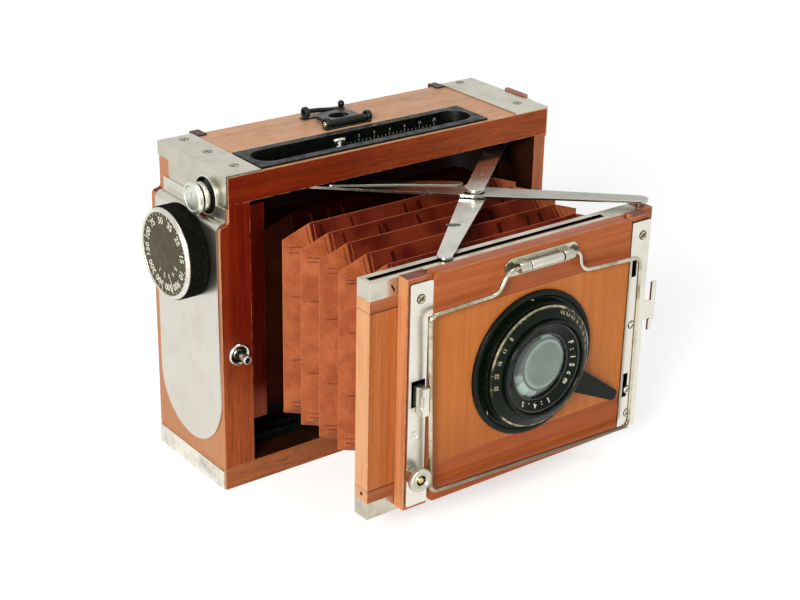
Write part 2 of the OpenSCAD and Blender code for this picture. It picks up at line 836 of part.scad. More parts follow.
// Bellows
bellows_rings = concat(
    [[bellows_y0, end_inset], [bellows_y0 - 5, pleat_depth]],
    [for (i = [0 : 2 * ridges - 2]) [ridge_y0 - i * pleat_pitch / 2, i % 2 == 0 ? 0 : pleat_depth]],
    [[bellows_y1 + 4, pleat_depth], [bellows_y1, pleat_depth]]);

function bellows_ring(y, inset) =
    let (w = bellows_w / 2 - inset, h = bellows_h / 2 - inset, cx = chamfer_x - inset / 2, cz = chamfer_z)
    [[w, y, h - cz], [w - cx, y, h], [-w + cx, y, h], [-w, y, h - cz],
     [-w, y, -h + cz], [-w + cx, y, -h], [w - cx, y, -h], [w, y, -h + cz]];

module bellows() {
    n = len(bellows_rings);
    outer = [for (r = bellows_rings) each bellows_ring(r[0], r[1])];
    inner = [for (r = bellows_rings) each bellows_ring(r[0], r[1] + leather_t)];
    inner_start = 8 * n;
    color(leather) translate([0, 0, bellows_z]) polyhedron(concat(outer, inner), concat(
        [for (i = [0 : n - 2], k = [0 : 7]) let (a = 8 * i + k, b = 8 * i + (k + 1) % 8)
            each [[a, b, b + 8], [a, b + 8, a + 8]]],
        [for (i = [0 : n - 2], k = [0 : 7])
            let (row = inner_start + 8 * i, a = row + k, b = row + (k + 1) % 8)
            each [[a, b + 8, b], [a, a + 8, b + 8]]],
        [for (k = [0 : 7]) let (m = (k + 1) % 8, c = inner_start)
            each [[k, c + k, c + m], [k, c + m, m]]],
        [for (k = [0 : 7]) let (m = (k + 1) % 8, a = 8 * (n - 1), c = inner_start + 8 * (n - 1))
            each [[a + k, a + m, c + m], [a + k, c + m, c + k]]]));
}

// Controls and shutter drive
module speed_dial() {
    color(black) difference() {
        union() {
            rod_x(dial_r, dial_back - dial_t + 1, dial_back, dial_y, dial_z);
            rod_x(dial_r - 1, dial_back - dial_t, dial_back - dial_t + 1, dial_y, dial_z);
        }
        rod_x(shaft_r, dial_back - dial_t + 3, dial_back + 1, dial_y, dial_z);
        rod_x(dial_r - 2, dial_back - dial_t - 1, dial_back - dial_t + 0.6, dial_y, dial_z);
    }
}

module dial_arbor() {
    color(brass) union() {
        rod_x(shaft_r, dial_back - dial_t + 3, gear_x, dial_y, dial_z);
        gear_x_axis(dial_teeth, mesh_twist() + 180 / dial_teeth, dial_y, dial_z);
        rod_x(journal_r, gear_x, pocket_floor + 2, dial_y, dial_z);
    }
}

// The line of centres, which a gap of the dial gear and a tooth of the pinion share
function mesh_twist() = atan2(roller_z - dial_z, roller_y - dial_y);

module roller_pinion() {
    color(brass) difference() {
        gear_x_axis(pinion_teeth, mesh_twist() + 180, roller_y, roller_z);
        rod_x(journal_r, gear_x - 1, gear_x + gear_t + 1, roller_y, roller_z);
    }
}

module winding_roller() {
    color(black) union() {
        rod_x(roller_r, inner_left + roller_gap, inner_right - roller_gap, roller_y, roller_z);
        rod_x(journal_r, gear_x, inner_left + 0.5, roller_y, roller_z);
        rod_x(journal_r, inner_right - 0.5, inner_right + journal_l, roller_y, roller_z);
    }
}

module spring_roller() {
    color(black) union() {
        rod_x(roller_r, inner_left + roller_gap, inner_right - roller_gap, roller_y, spring_z);
        rod_x(journal_r, inner_left - journal_l, inner_left + 0.5, roller_y, spring_z);
        rod_x(journal_r, inner_right - 0.5, inner_right + journal_l, roller_y, spring_z);
    }
}

module tension_knob() {
    start = -half_w - cover_plate_t - 0.4;
    color(nickel) difference() {
        union() {
            rod_x(knob_shaft_r, start, -half_w + 7.5, knob_y, knob_z);
            rod_x(knob_r - 0.6, start - 2.2, start, knob_y, knob_z);
            rod_x(knob_r - 1.6, start - 3.4, start - 2, knob_y, knob_z);
            rod_x(knob_r, start - 5.8, start - 3.2, knob_y, knob_z);
        }
        box([start - 6.6, knob_y - 0.4, knob_z - 3], [start - 5, knob_y + 0.4, knob_z + 3]);
    }
}

// Standard
module standard_frame() {
    boss_x0 = panel_x0 + stile_w - boss_w - slide_left;
    boss_x1 = right_stile_x0 + boss_w + slide_right;
    color(wood_light) difference() {
        union() {
            box([-std_half + 1, plate_room, std_bottom + 3], [std_half, std_back - rail_wall, std_top - 3]);
            box([-std_half, std_front, std_bottom + rail_h], [std_half, std_back, std_top - rail_h]);
            box([rail_end_x, std_front, std_top - rail_h], [std_half, std_back, std_top]);
        }
        box([-bellows_window_w / 2, std_front + 1, bellows_z - bellows_window_h / 2],
            [bellows_window_w / 2, std_back + 1, bellows_z + bellows_window_h / 2]);
        box([-std_half + 3.5, std_front + rail_wall, std_bottom + 3],
            [std_half - 3.5, plate_room, std_top - 3]);
        box([boss_x0 - 0.1, std_front - 1, std_bottom + rail_h + 1.5],
            [boss_x1 + 0.1, plate_room, std_top - rail_h - 1.5]);
        rod_z(shoe_r + 0.6, std_top - 4.5, std_top - 1, pivot_x, front_line);
        rod_z(end_pin_r + running, std_top - 2, std_top + 1, pivot_x, front_line);
    }
}

// A rail is an upturned channel with a slot for the foot of the rear strut
module rail_shape(x0, x1) {
    cavity_half = standard_t / 2 - rail_wall;
    difference() {
        box([x0, std_front, std_top - rail_h], [x1, std_back, std_top]);
        box([x0 + rail_wall, std_mid_y - cavity_half, std_top - rail_h - 1],
            [x1 + 1, std_mid_y + cavity_half, std_top - rail_roof]);
        translate([0, 0, std_top - 2]) linear_extrude(3) stadium(slot_x0, slot_x1, front_line, 2 * slot_half);
    }
}

module top_rail() {
    color(nickel) rail_shape(-std_half, rail_end_x);
}

module bottom_rail() {
    color(nickel) difference() {
        lower_twin() rail_shape(-std_half, std_half);
        rod_z(end_pin_r + running, std_bottom - 1, std_bottom + 2, pivot_x, front_line);
    }
}

module cross_slide_plate() {
    x0 = panel_x0 + 1;
    x1 = panel_x1 - 1;
    color(black) difference() {
        box([x0, plate_front, std_bottom + rail_h - plate_lap],
            [x1, plate_front + plate_t - 0.1, std_top - rail_h + plate_lap]);
        slab_y(plate_front - 1, plate_front + plate_t + 1)
            rounded_rect(panel_shift - panel_w / 2 + 16.2, std_bottom + 14, panel_shift + panel_w / 2 - 16.2,
                std_top - 12.5, 3);
    }
}

module stile_block(x0, x1, groove_x0, groove_x1, boss_x) {
    difference() {
        union() {
            box([x0, stile_front, panel_bottom], [x1, std_front - 0.2, panel_top]);
            box([boss_x, std_front - 0.3, std_bottom + rail_h + 1.8],
                [boss_x + boss_w, plate_front, std_top - rail_h - 1.8]);
        }
        box([groove_x0, groove_y0, panel_bottom - 1], [groove_x1, groove_y1, panel_top + 1]);
    }
}

module left_stile() {
    x1 = panel_x0 + stile_w;
    color(wood) difference() {
        stile_block(panel_x0, x1, x1 - groove_d, x1 + 1, x1 - boss_w);
        lock_hole();
    }
}

module right_stile() {
    x0 = right_stile_x0;
    color(wood) stile_block(x0, panel_x1, x0 - 1, x0 + groove_d, x0);
}

module lock_hole() {
    rod_y(lock_stud_r + running, panel_front - 1, panel_front + 3.3, lock_x, lock_z);
}

module strip_holes() {
    strip_screw_places() rotate([90, 0, 0]) cylinder(r = screw_head_r + running, h = 6, center = true);
}

module left_strip() {
    x0 = panel_x0 + 0.8;
    x1 = panel_x0 + stile_w;
    z0 = panel_bottom + 1.6;
    z1 = panel_top - 2;
    color(nickel) difference() {
        slab_y(panel_front, stile_front) difference() {
            union() {
                rounded_rect(x0, z1 - 14.4, x1, z1, 1);
                rounded_rect(x0, z0, x1 - 2.2, z1 - 12, 0.8);
                rounded_rect(x0, z0, x1 - 0.6, z0 + 9.4, 0.8);
            }
            translate([catch_x - 0.6 - catch_travel - slip, fitting_z - 3]) square([6.5, 11]);
        }
        strip_holes();
        lock_hole();
    }
}

module right_strip() {
    x0 = right_stile_x0 + 0.4;
    x1 = panel_x1 - 0.2;
    z0 = panel_bottom + 0.8;
    z1 = panel_top - 2.2;
    slot_x = x0 + 1.3;
    color(nickel) difference() {
        slab_y(panel_front, stile_front) difference() {
            union() {
                rounded_rect(x0, z0, x1, z1, 0.8);
                translate([x1 - 1, fitting_z + 2.5]) square([6.6, 8]);
                translate([x1 + 3.8, fitting_z + 1]) square([2.6, 17.6]);
                translate([x1 + 3.2, fitting_z - 3]) square([2, 5]);
            }
            translate([slot_x, z1 - 23.7]) square([2.6, 8.5]);
            translate([slot_x, z0 + 15.2]) square([2.6, 11]);
        }
        strip_holes();
    }
}

module strip_screw_places() {
    right_x = right_stile_x0 + 3;
    for (p = [[panel_x0 + 5.6, panel_top - 8.4], [right_x + 3.4, panel_top - 8.4],
            [right_x + 2.6, panel_bottom + 8], [panel_x0 + 4, mirror_z - 14.6]])
        translate([p[0], panel_front, p[1]]) children();
}

module strip_screws() {
    color(nickel) difference() {
        strip_screw_places() rotate([90, 0, 0]) translate([0, 0, -strip_t])
            cylinder(r = screw_head_r, h = strip_t + 0.3);
        strip_screw_places() rotate([0, 35, 0]) cube([2 * screw_head_r + 1, 1, 0.5], center = true);
    }
}

// Lens board: its sides run in the grooves of the stiles
module lens_board() {
    color(wood_light) difference() {
        union() {
            slab_y(panel_front, board_back) rounded_rect(board_x0, board_z0, board_x1, panel_top, 3);
            box([board_x0 - tongue_l, groove_y0 + 0.3, board_z0 + 4],
                [board_x1 + tongue_l, groove_y1 - 0.3, panel_top - 4]);
        }
        rod_y(barrel_r + 0.4, panel_front - 1, board_back + 1, lens_x, lens_z);
    }
}

module finder_hinge() {
    knuckle_in = sleeve_l / 2 + 0.6;
    color(nickel) difference() {
        union() {
            slab_y(panel_front - hinge_plate_t, panel_front)
                rounded_rect(hinge_x - hinge_l / 2, hinge_z - hinge_h / 2, hinge_x + hinge_l / 2,
                    hinge_z + hinge_h / 2, hinge_h / 2 - 0.01);
            for (x = [hinge_x - knuckle_in - knuckle_l, hinge_x + knuckle_in]) {
                rod_x(knuckle_r, x, x + knuckle_l, wire_y, hinge_z);
                box([x, wire_y, hinge_z - 1.5], [x + knuckle_l, panel_front - 0.5, hinge_z + 1.5]);
            }
        }
        rod_x(wire_r + running, hinge_x - hinge_l, hinge_x + hinge_l, wire_y, hinge_z);
    }
}

module wire_finder() {
    color(nickel) union() {
        for (i = [0 : len(wire_path) - 2]) wire_piece(wire_path[i], wire_path[i + 1]);
        wire_piece(wire_path[len(wire_path) - 1], wire_path[0]);
        for (p = wire_path) translate([p[0], wire_y, p[1]]) sphere(r = wire_r + 0.06, $fn = 32);
        rod_x(knuckle_r - 0.2, hinge_x - sleeve_l / 2, hinge_x + sleeve_l / 2, wire_y, hinge_z);
    }
}

module wire_piece(a, b) {
    l = norm(b - a);
    translate([a[0], wire_y, a[1]]) rotate([0, 90 - atan2(b[1] - a[1], b[0] - a[0]), 0])
        cylinder(r = wire_r, h = l);
}

module finder_catch() {
    color(nickel) difference() {
        union() {
            box([catch_x, panel_front - 4.6, fitting_z - 5.5],
                [catch_x + 3, panel_front - 0.1, fitting_z + 6]);
            box([catch_x - 0.6, panel_front - 1.4, fitting_z - 2],
                [catch_x + 3, panel_front + strip_t - 0.2, fitting_z + 6]);
        }
        box([catch_x - 0.5, panel_front - 5, fitting_z - 2.5],
            [catch_x + 0.7, panel_front - 3.4, fitting_z + 3]);
    }
}

module lock_knob() {
    color(nickel) difference() {
        union() {
            rod_y(lock_stud_r, panel_front - lock_reach, panel_front + 3, lock_x, lock_z);
            rod_y(3.4, panel_front - 3.2, panel_front - 0.2, lock_x, lock_z);
            rod_y(lock_r, panel_front - lock_reach, panel_front - 3.2, lock_x, lock_z);
        }
        rod_y(1.6, panel_front - lock_reach - 1, panel_front - lock_reach + 1.6, lock_x, lock_z);
    }
}

// Lens
module lens_flange() {
    color(black) difference() {
        lathe_y([[barrel_r + running, panel_front], [flange_r, panel_front], [flange_r, flange_front + 0.4],
            [flange_r - 0.4, flange_front], [flange_r - 1.6, flange_front],
            [flange_r - 2, flange_front + 0.4], [barrel_r + running, flange_front + 0.4]]);
        flange_screw_places() rod_y(flange_screw_r, panel_front - 4, panel_front + 1, 0, 0);
    }
}

module flange_screw_places() {
    for (a = [95, 215, 335])
        translate([lens_x + flange_screw_ring * cos(a), 0, lens_z + flange_screw_ring * sin(a)]) children();
}

module flange_screws() {
    color(nickel) difference() {
        flange_screw_places() rod_y(flange_screw_r, flange_front + 0.5, panel_front, 0, 0);
        flange_screw_places() box([-2, flange_front - 1, -0.25], [2, flange_front + 0.8, 0.25]);
    }
}

module focus_ring() {
    tip_w = 5;
    root_w = 9.8;
    root = ring_r - 1;
    color(black) union() {
        lathe_y([[barrel_r + running, ring_back], [ring_r, ring_back], [ring_r, ring_front],
            [barrel_r + running, ring_front]]);
        translate([lens_x, 0, lens_z]) rotate([0, -lever_angle, 0]) slab_y(ring_front, ring_back) union() {
            polygon([[root, -root_w / 2], [lever_l - tip_w / 2, -tip_w / 2],
                [lever_l - tip_w / 2, tip_w / 2], [root, root_w / 2]]);
            translate([lever_l - tip_w / 2, 0]) circle(tip_w / 2);
        }
    }
}

module lens_barrel() {
    bore = barrel_r - barrel_wall;
    neck = bezel_r - bezel_wall;
    color(black) lathe_y([[bore, barrel_back], [barrel_r, barrel_back], [barrel_r, scale_back + 0.2],
        [neck, scale_back + 0.2], [neck, bezel_front + 1.2], [glass_r + 2, bezel_front + 3.2],
        [glass_r, bezel_front + 4], [glass_r, bezel_front + 9], [bore, bezel_front + 9]]);
}

module aperture_ring() {
    bore = bezel_r - bezel_wall + running;
    color(black) lathe_y([[bore, scale_back], [scale_r, scale_back], [scale_r, scale_back - 0.7],
        [bezel_r + 1, scale_front], [bore, scale_front]]);
}

module front_bezel() {
    color(black) lathe_y([[bezel_r - bezel_wall, scale_front - 0.2], [bezel_r, scale_front - 0.2],
        [bezel_r, bezel_front + 0.3], [bezel_r - 0.3, bezel_front], [bezel_r - 1.2, bezel_front],
        [bezel_r - 1.2, bezel_front + 1.2], [bezel_r - bezel_wall, bezel_front + 1.2]]);
}

// A lens element: a disc with a domed front of the given height
function dome(r, y, rise) = [for (i = [0 : 8]) let (a = 90 * i / 8) [r * sin(a), y - rise * cos(a)]];

module front_glass() {
    glass_back = bezel_front + 8.5;
    color("#8fa398") lathe_y(concat(dome(glass_r, bezel_front + 4.6, 2), [[glass_r, glass_back], [0, glass_back]]));
}

module rear_glass() {
    color("#8fa398") lathe_y([[0, barrel_back - 5], [barrel_r - barrel_wall, barrel_back - 5],
        [barrel_r - barrel_wall, barrel_back - 1], [0, barrel_back - 1]]);
}

module iris_blades() {
    color(black) lathe_y([[9, bezel_front + 11], [barrel_r - barrel_wall, bezel_front + 11],
        [barrel_r - barrel_wall, bezel_front + 11.6], [9, bezel_front + 11.6]]);
}

// Struts. The rear strut is two straps with the front strut between them.
module upper_rear_strut() {
    tail = 20;
    color(nickel) translate([pivot_x, rear_line, 0]) rotate([0, 0, 180 + open_angle]) union() {
        strap(half_strut, 8.4, 7.4, strut_z3);
        translate([half_strut, 0, 0]) {
            strap(half_strut, strut_mid_w, strut_end_w, strut_z1);
            rotate([0, 0, 180]) strap(tail, strut_mid_w, 6, strut_z1);
            rod_z(cross_pin_r, strut_z1, strut_z3 + strut_t, 0, 0);
            rod_z(4.2, strut_z3, strut_z3 + strut_t + 0.2, 0, 0);
        }
        rod_z(end_pin_r, strut_z3, inner_top - 0.8, 0, 0);
        translate([strut_l, 0, 0]) {
            rod_z(foot_pin_r, std_top - 2.8, strut_z1 + eps, 0, 0);
            rod_z(shoe_r, std_top - rail_roof - 0.1 - shoe_t, std_top - rail_roof - 0.1, 0, 0);
        }
    }
}

module front_strut_plate(foot_up) {
    difference() {
        union() {
            strap(half_strut, 7, strut_mid_w, strut_z2);
            translate([half_strut, 0, 0]) strap(half_strut, strut_mid_w, strut_end_w, strut_z2);
            rod_z(end_pin_r, std_top - 2.8, strut_z2 + eps, 0, 0);
            rod_z(shoe_r, std_top - rail_roof - 0.1 - shoe_t, std_top - rail_roof - 0.1, 0, 0);
            translate([strut_l, 0, 0]) rod_z(foot_pin_r, strut_z2, foot_up, 0, 0);
        }
        translate([half_strut, 0, 0]) rod_z(cross_pin_r + running, strut_z1, track_z, 0, 0);
    }
}

module upper_front_strut() {
    color(nickel) translate([pivot_x, front_line, 0]) rotate([0, 0, 180 - open_angle])
        front_strut_plate(track_z + track_lip + 1.6);
}

module lower_rear_strut() {
    color(nickel) lower_twin() upper_rear_strut();
}

module lower_front_strut() {
    color(nickel) lower_twin() translate([pivot_x, front_line, 0]) rotate([0, 0, 180 - open_angle]) union() {
        front_strut_plate(track_z + track_lip + 0.8);
        translate([strut_l, 0, 0]) rod_z(shoe_r, track_z + track_lip + 0.2, track_z + track_lip + 1.4, 0, 0);
    }
}

// The block on the front strut's rear foot, with the T-headed index pin
module index_slider() {
    block_z = track_z + track_lip + 0.2;
    block_top = inner_top - 0.4;
    index_x = foot_x + index_offset;
    color(nickel) difference() {
        union() {
            box([foot_x - 2.6, rear_line - track_cavity_w / 2 + 0.3, block_z],
                [index_x + 3, rear_line + track_cavity_w / 2 - 0.3, block_top]);
            rod_z(index_pin_r, block_z, index_top, index_x, index_y);
            rod_x(0.7, index_x - 2.6, index_x + 2.6, index_y, index_top);
        }
        rod_z(foot_pin_r + running, block_z - 1, block_top + 1, foot_x, rear_line);
    }
}

top_board();
bottom_board();
left_end_board();
right_end_board();
upper_corner_plates();
lower_corner_plates();
corner_screws();
cover_plate();
focus_scale_tray();
bellows_frame();
shutter_guides();
shutter_curtain();
upper_strut_track();
lower_strut_track();
release_escutcheon();
tripod_bush();
sight_base();
sight_leaf();
handle_strap();
handle_lugs();
back_frame();
ground_glass();
back_lid();
back_catches();
bellows();
speed_dial();
dial_arbor();
winding_roller();
roller_pinion();
spring_roller();
tension_knob();
release_plunger();
standard_frame();
top_rail();
bottom_rail();
cross_slide_plate();
left_stile();
right_stile();
left_strip();
right_strip();
strip_screws();
lens_board();
finder_hinge();
lens_flange();
flange_screws();
lens_barrel();
front_bezel();
front_glass();
rear_glass();
iris_blades();
aperture_ring();
focus_ring();
lock_knob();
wire_finder();
finder_catch();
upper_rear_strut();
upper_front_strut();
lower_rear_strut();
lower_front_strut();
index_slider();
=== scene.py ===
"""The looks of the folding plate camera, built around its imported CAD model."""

import math
import random

import bmesh
import bpy
from mathutils import Matrix, Vector


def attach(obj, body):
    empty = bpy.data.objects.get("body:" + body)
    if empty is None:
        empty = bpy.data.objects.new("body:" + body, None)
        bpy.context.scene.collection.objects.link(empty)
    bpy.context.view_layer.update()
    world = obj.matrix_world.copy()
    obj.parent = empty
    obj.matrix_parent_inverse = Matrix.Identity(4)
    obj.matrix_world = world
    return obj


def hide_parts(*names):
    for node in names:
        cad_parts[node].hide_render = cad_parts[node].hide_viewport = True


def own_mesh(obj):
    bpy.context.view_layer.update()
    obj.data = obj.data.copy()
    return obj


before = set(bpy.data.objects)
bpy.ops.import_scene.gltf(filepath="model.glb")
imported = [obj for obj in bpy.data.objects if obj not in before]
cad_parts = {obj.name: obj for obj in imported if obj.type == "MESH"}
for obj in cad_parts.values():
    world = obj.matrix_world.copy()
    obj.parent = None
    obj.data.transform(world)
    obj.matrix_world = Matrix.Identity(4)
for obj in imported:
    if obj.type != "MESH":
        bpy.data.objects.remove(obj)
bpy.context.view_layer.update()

MM = 0.001
X, Y, Z = 0, 1, 2
scene = bpy.context.scene


# Materials: every look is a node tree in the object's own coordinates

class Look:
    """A procedural material with short calls for the nodes it needs."""

    def __init__(self, name, **sockets):
        self.material = bpy.data.materials.new(name)
        self.material.use_nodes = True
        self.tree = self.material.node_tree
        self.shader = self.tree.nodes["Principled BSDF"]
        self.coordinates = self.add("ShaderNodeTexCoord").outputs["Object"]
        self.tone = None
        self.normal = None
        for key, value in sockets.items():
            self.shader.inputs[key.replace("_", " ")].default_value = value

    def add(self, kind, **settings):
        node = self.tree.nodes.new(kind)
        for key, value in settings.items():
            setattr(node, key, value)
        return node

    def link(self, value, socket):
        if isinstance(value, bpy.types.NodeSocket):
            self.tree.links.new(value, socket)
        elif isinstance(value, tuple) and len(value) == 3 and socket.type == "RGBA":
            socket.default_value = (*value, 1)
        else:
            socket.default_value = value

    def noise(self, per_m, detail=3, roughness=0.5, distortion=0.0):
        """Noise with its own frequency, in features per metre, along each axis."""
        scale = self.add("ShaderNodeMapping")
        scale.inputs["Scale"].default_value = per_m if isinstance(per_m, tuple) else (per_m,) * 3
        self.link(self.coordinates, scale.inputs["Vector"])
        node = self.add("ShaderNodeTexNoise")
        self.link(scale.outputs["Vector"], node.inputs["Vector"])
        for key, number in zip(("Scale", "Detail", "Roughness", "Distortion"),
                               (1, detail, roughness, distortion)):
            node.inputs[key].default_value = number
        return node.outputs["Fac"]

    def cells(self, per_m):
        node = self.add("ShaderNodeTexVoronoi", feature="F1")
        node.inputs["Scale"].default_value = per_m
        self.link(self.coordinates, node.inputs["Vector"])
        return node.outputs["Distance"]

    def steps(self, value, low, high, to_low=0.0, to_high=1.0):
        """A value eased from to_low at low to to_high at high."""
        node = self.add("ShaderNodeMapRange", interpolation_type="SMOOTHSTEP")
        self.link(value, node.inputs["Value"])
        for key, number in zip(("From Min", "From Max", "To Min", "To Max"), (low, high, to_low, to_high)):
            node.inputs[key].default_value = number
        return node.outputs["Result"]

    def spots(self, per_m, low, high, to_low=0.0, to_high=1.0, **kind):
        """Noise with its contrast raised to what lies between low and high."""
        return self.steps(self.noise(per_m, **kind), low, high, to_low, to_high)

    def math(self, operation, a, b=0.0):
        node = self.add("ShaderNodeMath", operation=operation)
        self.link(a, node.inputs[0])
        self.link(b, node.inputs[1])
        return node.outputs[0]

    def times(self, a, b):
        return self.math("MULTIPLY", a, b)

    def plus(self, a, b):
        return self.math("ADD", a, b)

    def mix(self, share, a, b, blend="MIX"):
        node = self.add("ShaderNodeMix", data_type="RGBA", blend_type=blend)
        self.link(share, node.inputs[0])
        self.link(a, node.inputs[6])
        self.link(b, node.inputs[7])
        return node.outputs[2]

    def part(self, vector, axis):
        node = self.add("ShaderNodeSeparateXYZ")
        self.link(vector, node.inputs[0])
        return node.outputs[axis]

    def place(self, axis):
        """The object's own coordinate along one axis."""
        return self.part(self.coordinates, axis)

    def facing(self, axis):
        """How much the surface faces along one axis, from -1 to 1."""
        return self.part(self.add("ShaderNodeNewGeometry").outputs["True Normal"], axis)

    def outer_side(self, low, high, most):
        """How much the surface faces the outer side, which is the left one."""
        return self.steps(self.times(self.facing(X), -1), low, high, 0, most)

    def away(self, x, z):
        """Distance from a point (x, z) as seen from the front, in metres."""
        across = self.math("SUBTRACT", self.place(X), x)
        height = self.math("SUBTRACT", self.place(Z), z)
        return self.math("SQRT", self.plus(self.times(across, across), self.times(height, height)))

    def edges(self, radius, samples=6):
        """1 along the outer edges of the shape and 0 on its flat faces."""
        bevel = self.add("ShaderNodeBevel", samples=samples)
        bevel.inputs["Radius"].default_value = radius
        dot = self.add("ShaderNodeVectorMath", operation="DOT_PRODUCT")
        self.link(bevel.outputs[0], dot.inputs[0])
        self.link(self.add("ShaderNodeNewGeometry").outputs["Normal"], dot.inputs[1])
        return self.steps(dot.outputs["Value"], 0.995, 0.9)

    def worn_edges(self, radius=0.0007, per_m=380, low=0.4, high=0.62, samples=6):
        """The edges, broken up as rubbing wears them."""
        return self.times(self.edges(radius, samples), self.spots(per_m, low, high))

    def seam(self, share):
        """1 where a share is on its way from 0 to 1."""
        return self.times(self.steps(share, 0.02, 0.4), self.steps(share, 0.98, 0.6))

    def colour(self, value):
        self.tone = value
        self.link(value, self.shader.inputs["Base Color"])

    def lay(self, tint, share, weight=1):
        """Lays a tint over the colour so far, as thick as share times weight."""
        self.colour(self.mix(share if weight == 1 else self.times(share, weight), self.tone, tint))

    def roughness(self, low, high, per_m, top=0.7, detail=3):
        """Roughness that wanders between low and high."""
        self.link(self.spots(per_m, 0.3, top, low, high, detail=detail), self.shader.inputs["Roughness"])

    def bump(self, height, depth, strength):
        node = self.add("ShaderNodeBump")
        node.inputs["Strength"].default_value = strength
        node.inputs["Distance"].default_value = depth
        self.link(height, node.inputs["Height"])
        if self.normal is not None:
            self.link(self.normal, node.inputs["Normal"])
        self.normal = node.outputs["Normal"]
        self.link(self.normal, self.shader.inputs["Normal"])


def along(axis, low, high):
    """Frequencies for a grain that runs along one axis."""
    return tuple(low if letter == axis else high for letter in "xyz")


def toned(colour, gain, more=0.0):
    """A colour made lighter or darker."""
    return tuple(min(1, gain * c + more) for c in colour)


def wood(name, axis, dark, middle, light, lit_top=None, worn=None, ramp=None, inside=None, lit_side=None):
    """Varnished wood with its grain along one axis. ramp is (axis, start, end) of where it turns lighter.
    inside is (axis, sign) of the blackened inner face. The colour for the top faces and the one for the outer
    side are painted light: lighter tones where light falls from above and from the left."""
    look = Look(name, Coat_Weight=0.06, Coat_Roughness=0.2, Specular_IOR_Level=0.14)
    figure = look.noise(along(axis, 9, 230), detail=5, roughness=0.6, distortion=0.5)
    streaks = look.noise(along(axis, 40, 1500), detail=2, roughness=0.7)
    pores = look.spots(along(axis, 130, 2400), 0.60, 0.72, detail=1)
    share = look.spots(along(axis, 7, 45), 0.42, 0.72, detail=2)
    if ramp:
        share = look.plus(look.times(share, 0.22), look.steps(look.place(ramp[0]), *ramp[1:], 0, 0.72))
    look.colour(look.mix(look.steps(figure, 0.3, 0.7), dark, middle))
    look.lay(light, share)
    look.lay(dark, look.steps(streaks, 0.42, 0.72), 0.5)
    # Painted light: faces that look up take a lighter colour, as lit from above.
    if lit_top:
        pale = look.mix(look.steps(figure, 0.25, 0.75), toned(lit_top, 0.82), lit_top)
        look.lay(pale, look.steps(look.facing(Z), 0.6, 0.9), 0.92)
    look.lay(toned(dark, 0.35), pores, 0.45)
    look.lay(worn or toned(light, 1.5), look.worn_edges(), 0.6)
    look.lay(toned(dark, 0.5), look.spots(60, 0.6, 0.8, detail=4), 0.22)
    # Painted light: faces toward the outer (left) side take a lighter colour, as lit from the left.
    if lit_side:
        look.lay(look.mix(figure, toned(lit_side, 0.75), lit_side), look.outer_side(0.6, 0.9, 0.9))
    if inside:
        toward = look.times(look.facing(inside[0]), inside[1])
        look.lay((0.010, 0.002, 0.001), look.steps(toward, 0.5, 0.8, 0, 0.94))
    look.roughness(0.36, 0.55, 90, 0.75, 4)
    look.bump(look.plus(look.times(pores, -1), look.times(streaks, 0.5)), 0.00012, 0.5)
    look.bump(look.noise(70, detail=1), 0.0006, 0.25)
    return look.material


def metal(name, bright, dull, rough, brushed=None, spots=0.35, edge_light_gain=1.18, slot=None,
          below=None):
    """Plated or bare metal: faint brushing, tarnish in patches and edges painted in a brighter tone as
    highlights (a darker one, as shade, where the gain is under 1). slot is (start, end, middle, half width)
    of a groove along X, painted dark as its shade. below is (height, colour) of a foot in another tone."""
    look = Look(name, Metallic=1.0)
    patches = look.spots(75, 0.42, 0.7, detail=5, roughness=0.65)
    look.colour(look.mix(patches, bright, dull))
    look.lay(toned(dull, 0.45), look.spots(900, 0.66, 0.78, detail=2), spots)
    # Painted highlight: the edges toned brighter as if catching the light, darker as shade when the gain is
    # under 1.
    look.lay(toned(bright, edge_light_gain), look.edges(0.0005, 4), 0.7)
    if below:
        height, tint = below
        look.lay(tint, look.steps(look.place(Z), height + 0.004, height))
    # Painted shade: a near-black band where the groove runs.
    if slot:
        start, end, middle, half = slot
        aside = look.math("ABSOLUTE", look.math("SUBTRACT", look.place(Y), middle))
        within = look.times(look.steps(look.place(X), start - 0.00003, start),
                            look.steps(look.place(X), end + 0.00003, end))
        within = look.times(within, look.steps(aside, half + 0.00003, half + 0.00001))
        look.lay((0.006, 0.006, 0.005), within)
    fine = look.noise(along(brushed, 60, 2600) if brushed else 1600, detail=2)
    dullness = look.plus(look.times(patches, 0.5), look.times(fine, 0.5))
    look.link(look.steps(dullness, 0.1, 0.9, *rough), look.shader.inputs["Roughness"])
    look.bump(fine, 0.00003, 0.35)
    look.bump(look.noise(110, detail=2), 0.0005, 0.12)
    return look.material


def enamel(name, base, worn, rough=(0.25, 0.5), wear=0.8, shine=0.15):
    """Enamel or paint with a fine orange peel, chipped at its edges."""
    look = Look(name, Specular_IOR_Level=shine)
    look.colour(look.mix(look.noise(140, detail=4), base, toned(base, 1.5, 0.001)))
    chips = look.spots(700, 0.5, 0.6, roughness=0.7)
    edge = look.times(look.times(look.edges(0.0004), chips), wear)
    look.lay(worn, edge)
    look.link(look.times(edge, 0.8), look.shader.inputs["Metallic"])
    look.roughness(*rough, 300)
    look.bump(look.noise(1500, detail=2), 0.00004, 0.4)
    return look.material


def leather(name, dark, light, grain, rough=(0.5, 0.75)):
    """Grained leather, paler along its edges."""
    look = Look(name, Specular_IOR_Level=0.35)
    cells = look.cells(grain)
    look.colour(look.mix(look.spots(120, 0.3, 0.75, detail=5, roughness=0.6), dark, light))
    look.lay(toned(dark, 0.55), look.steps(cells, 0.55, 0.15, 0, 0.3))
    look.lay(toned(light, 1.6, 0.02), look.worn_edges(0.0009, 500, 0.35, 0.6), 0.5)
    look.roughness(*rough, 420)
    look.bump(cells, 0.00012, 0.55)
    look.bump(look.noise(260), 0.0004, 0.3)
    return look.material


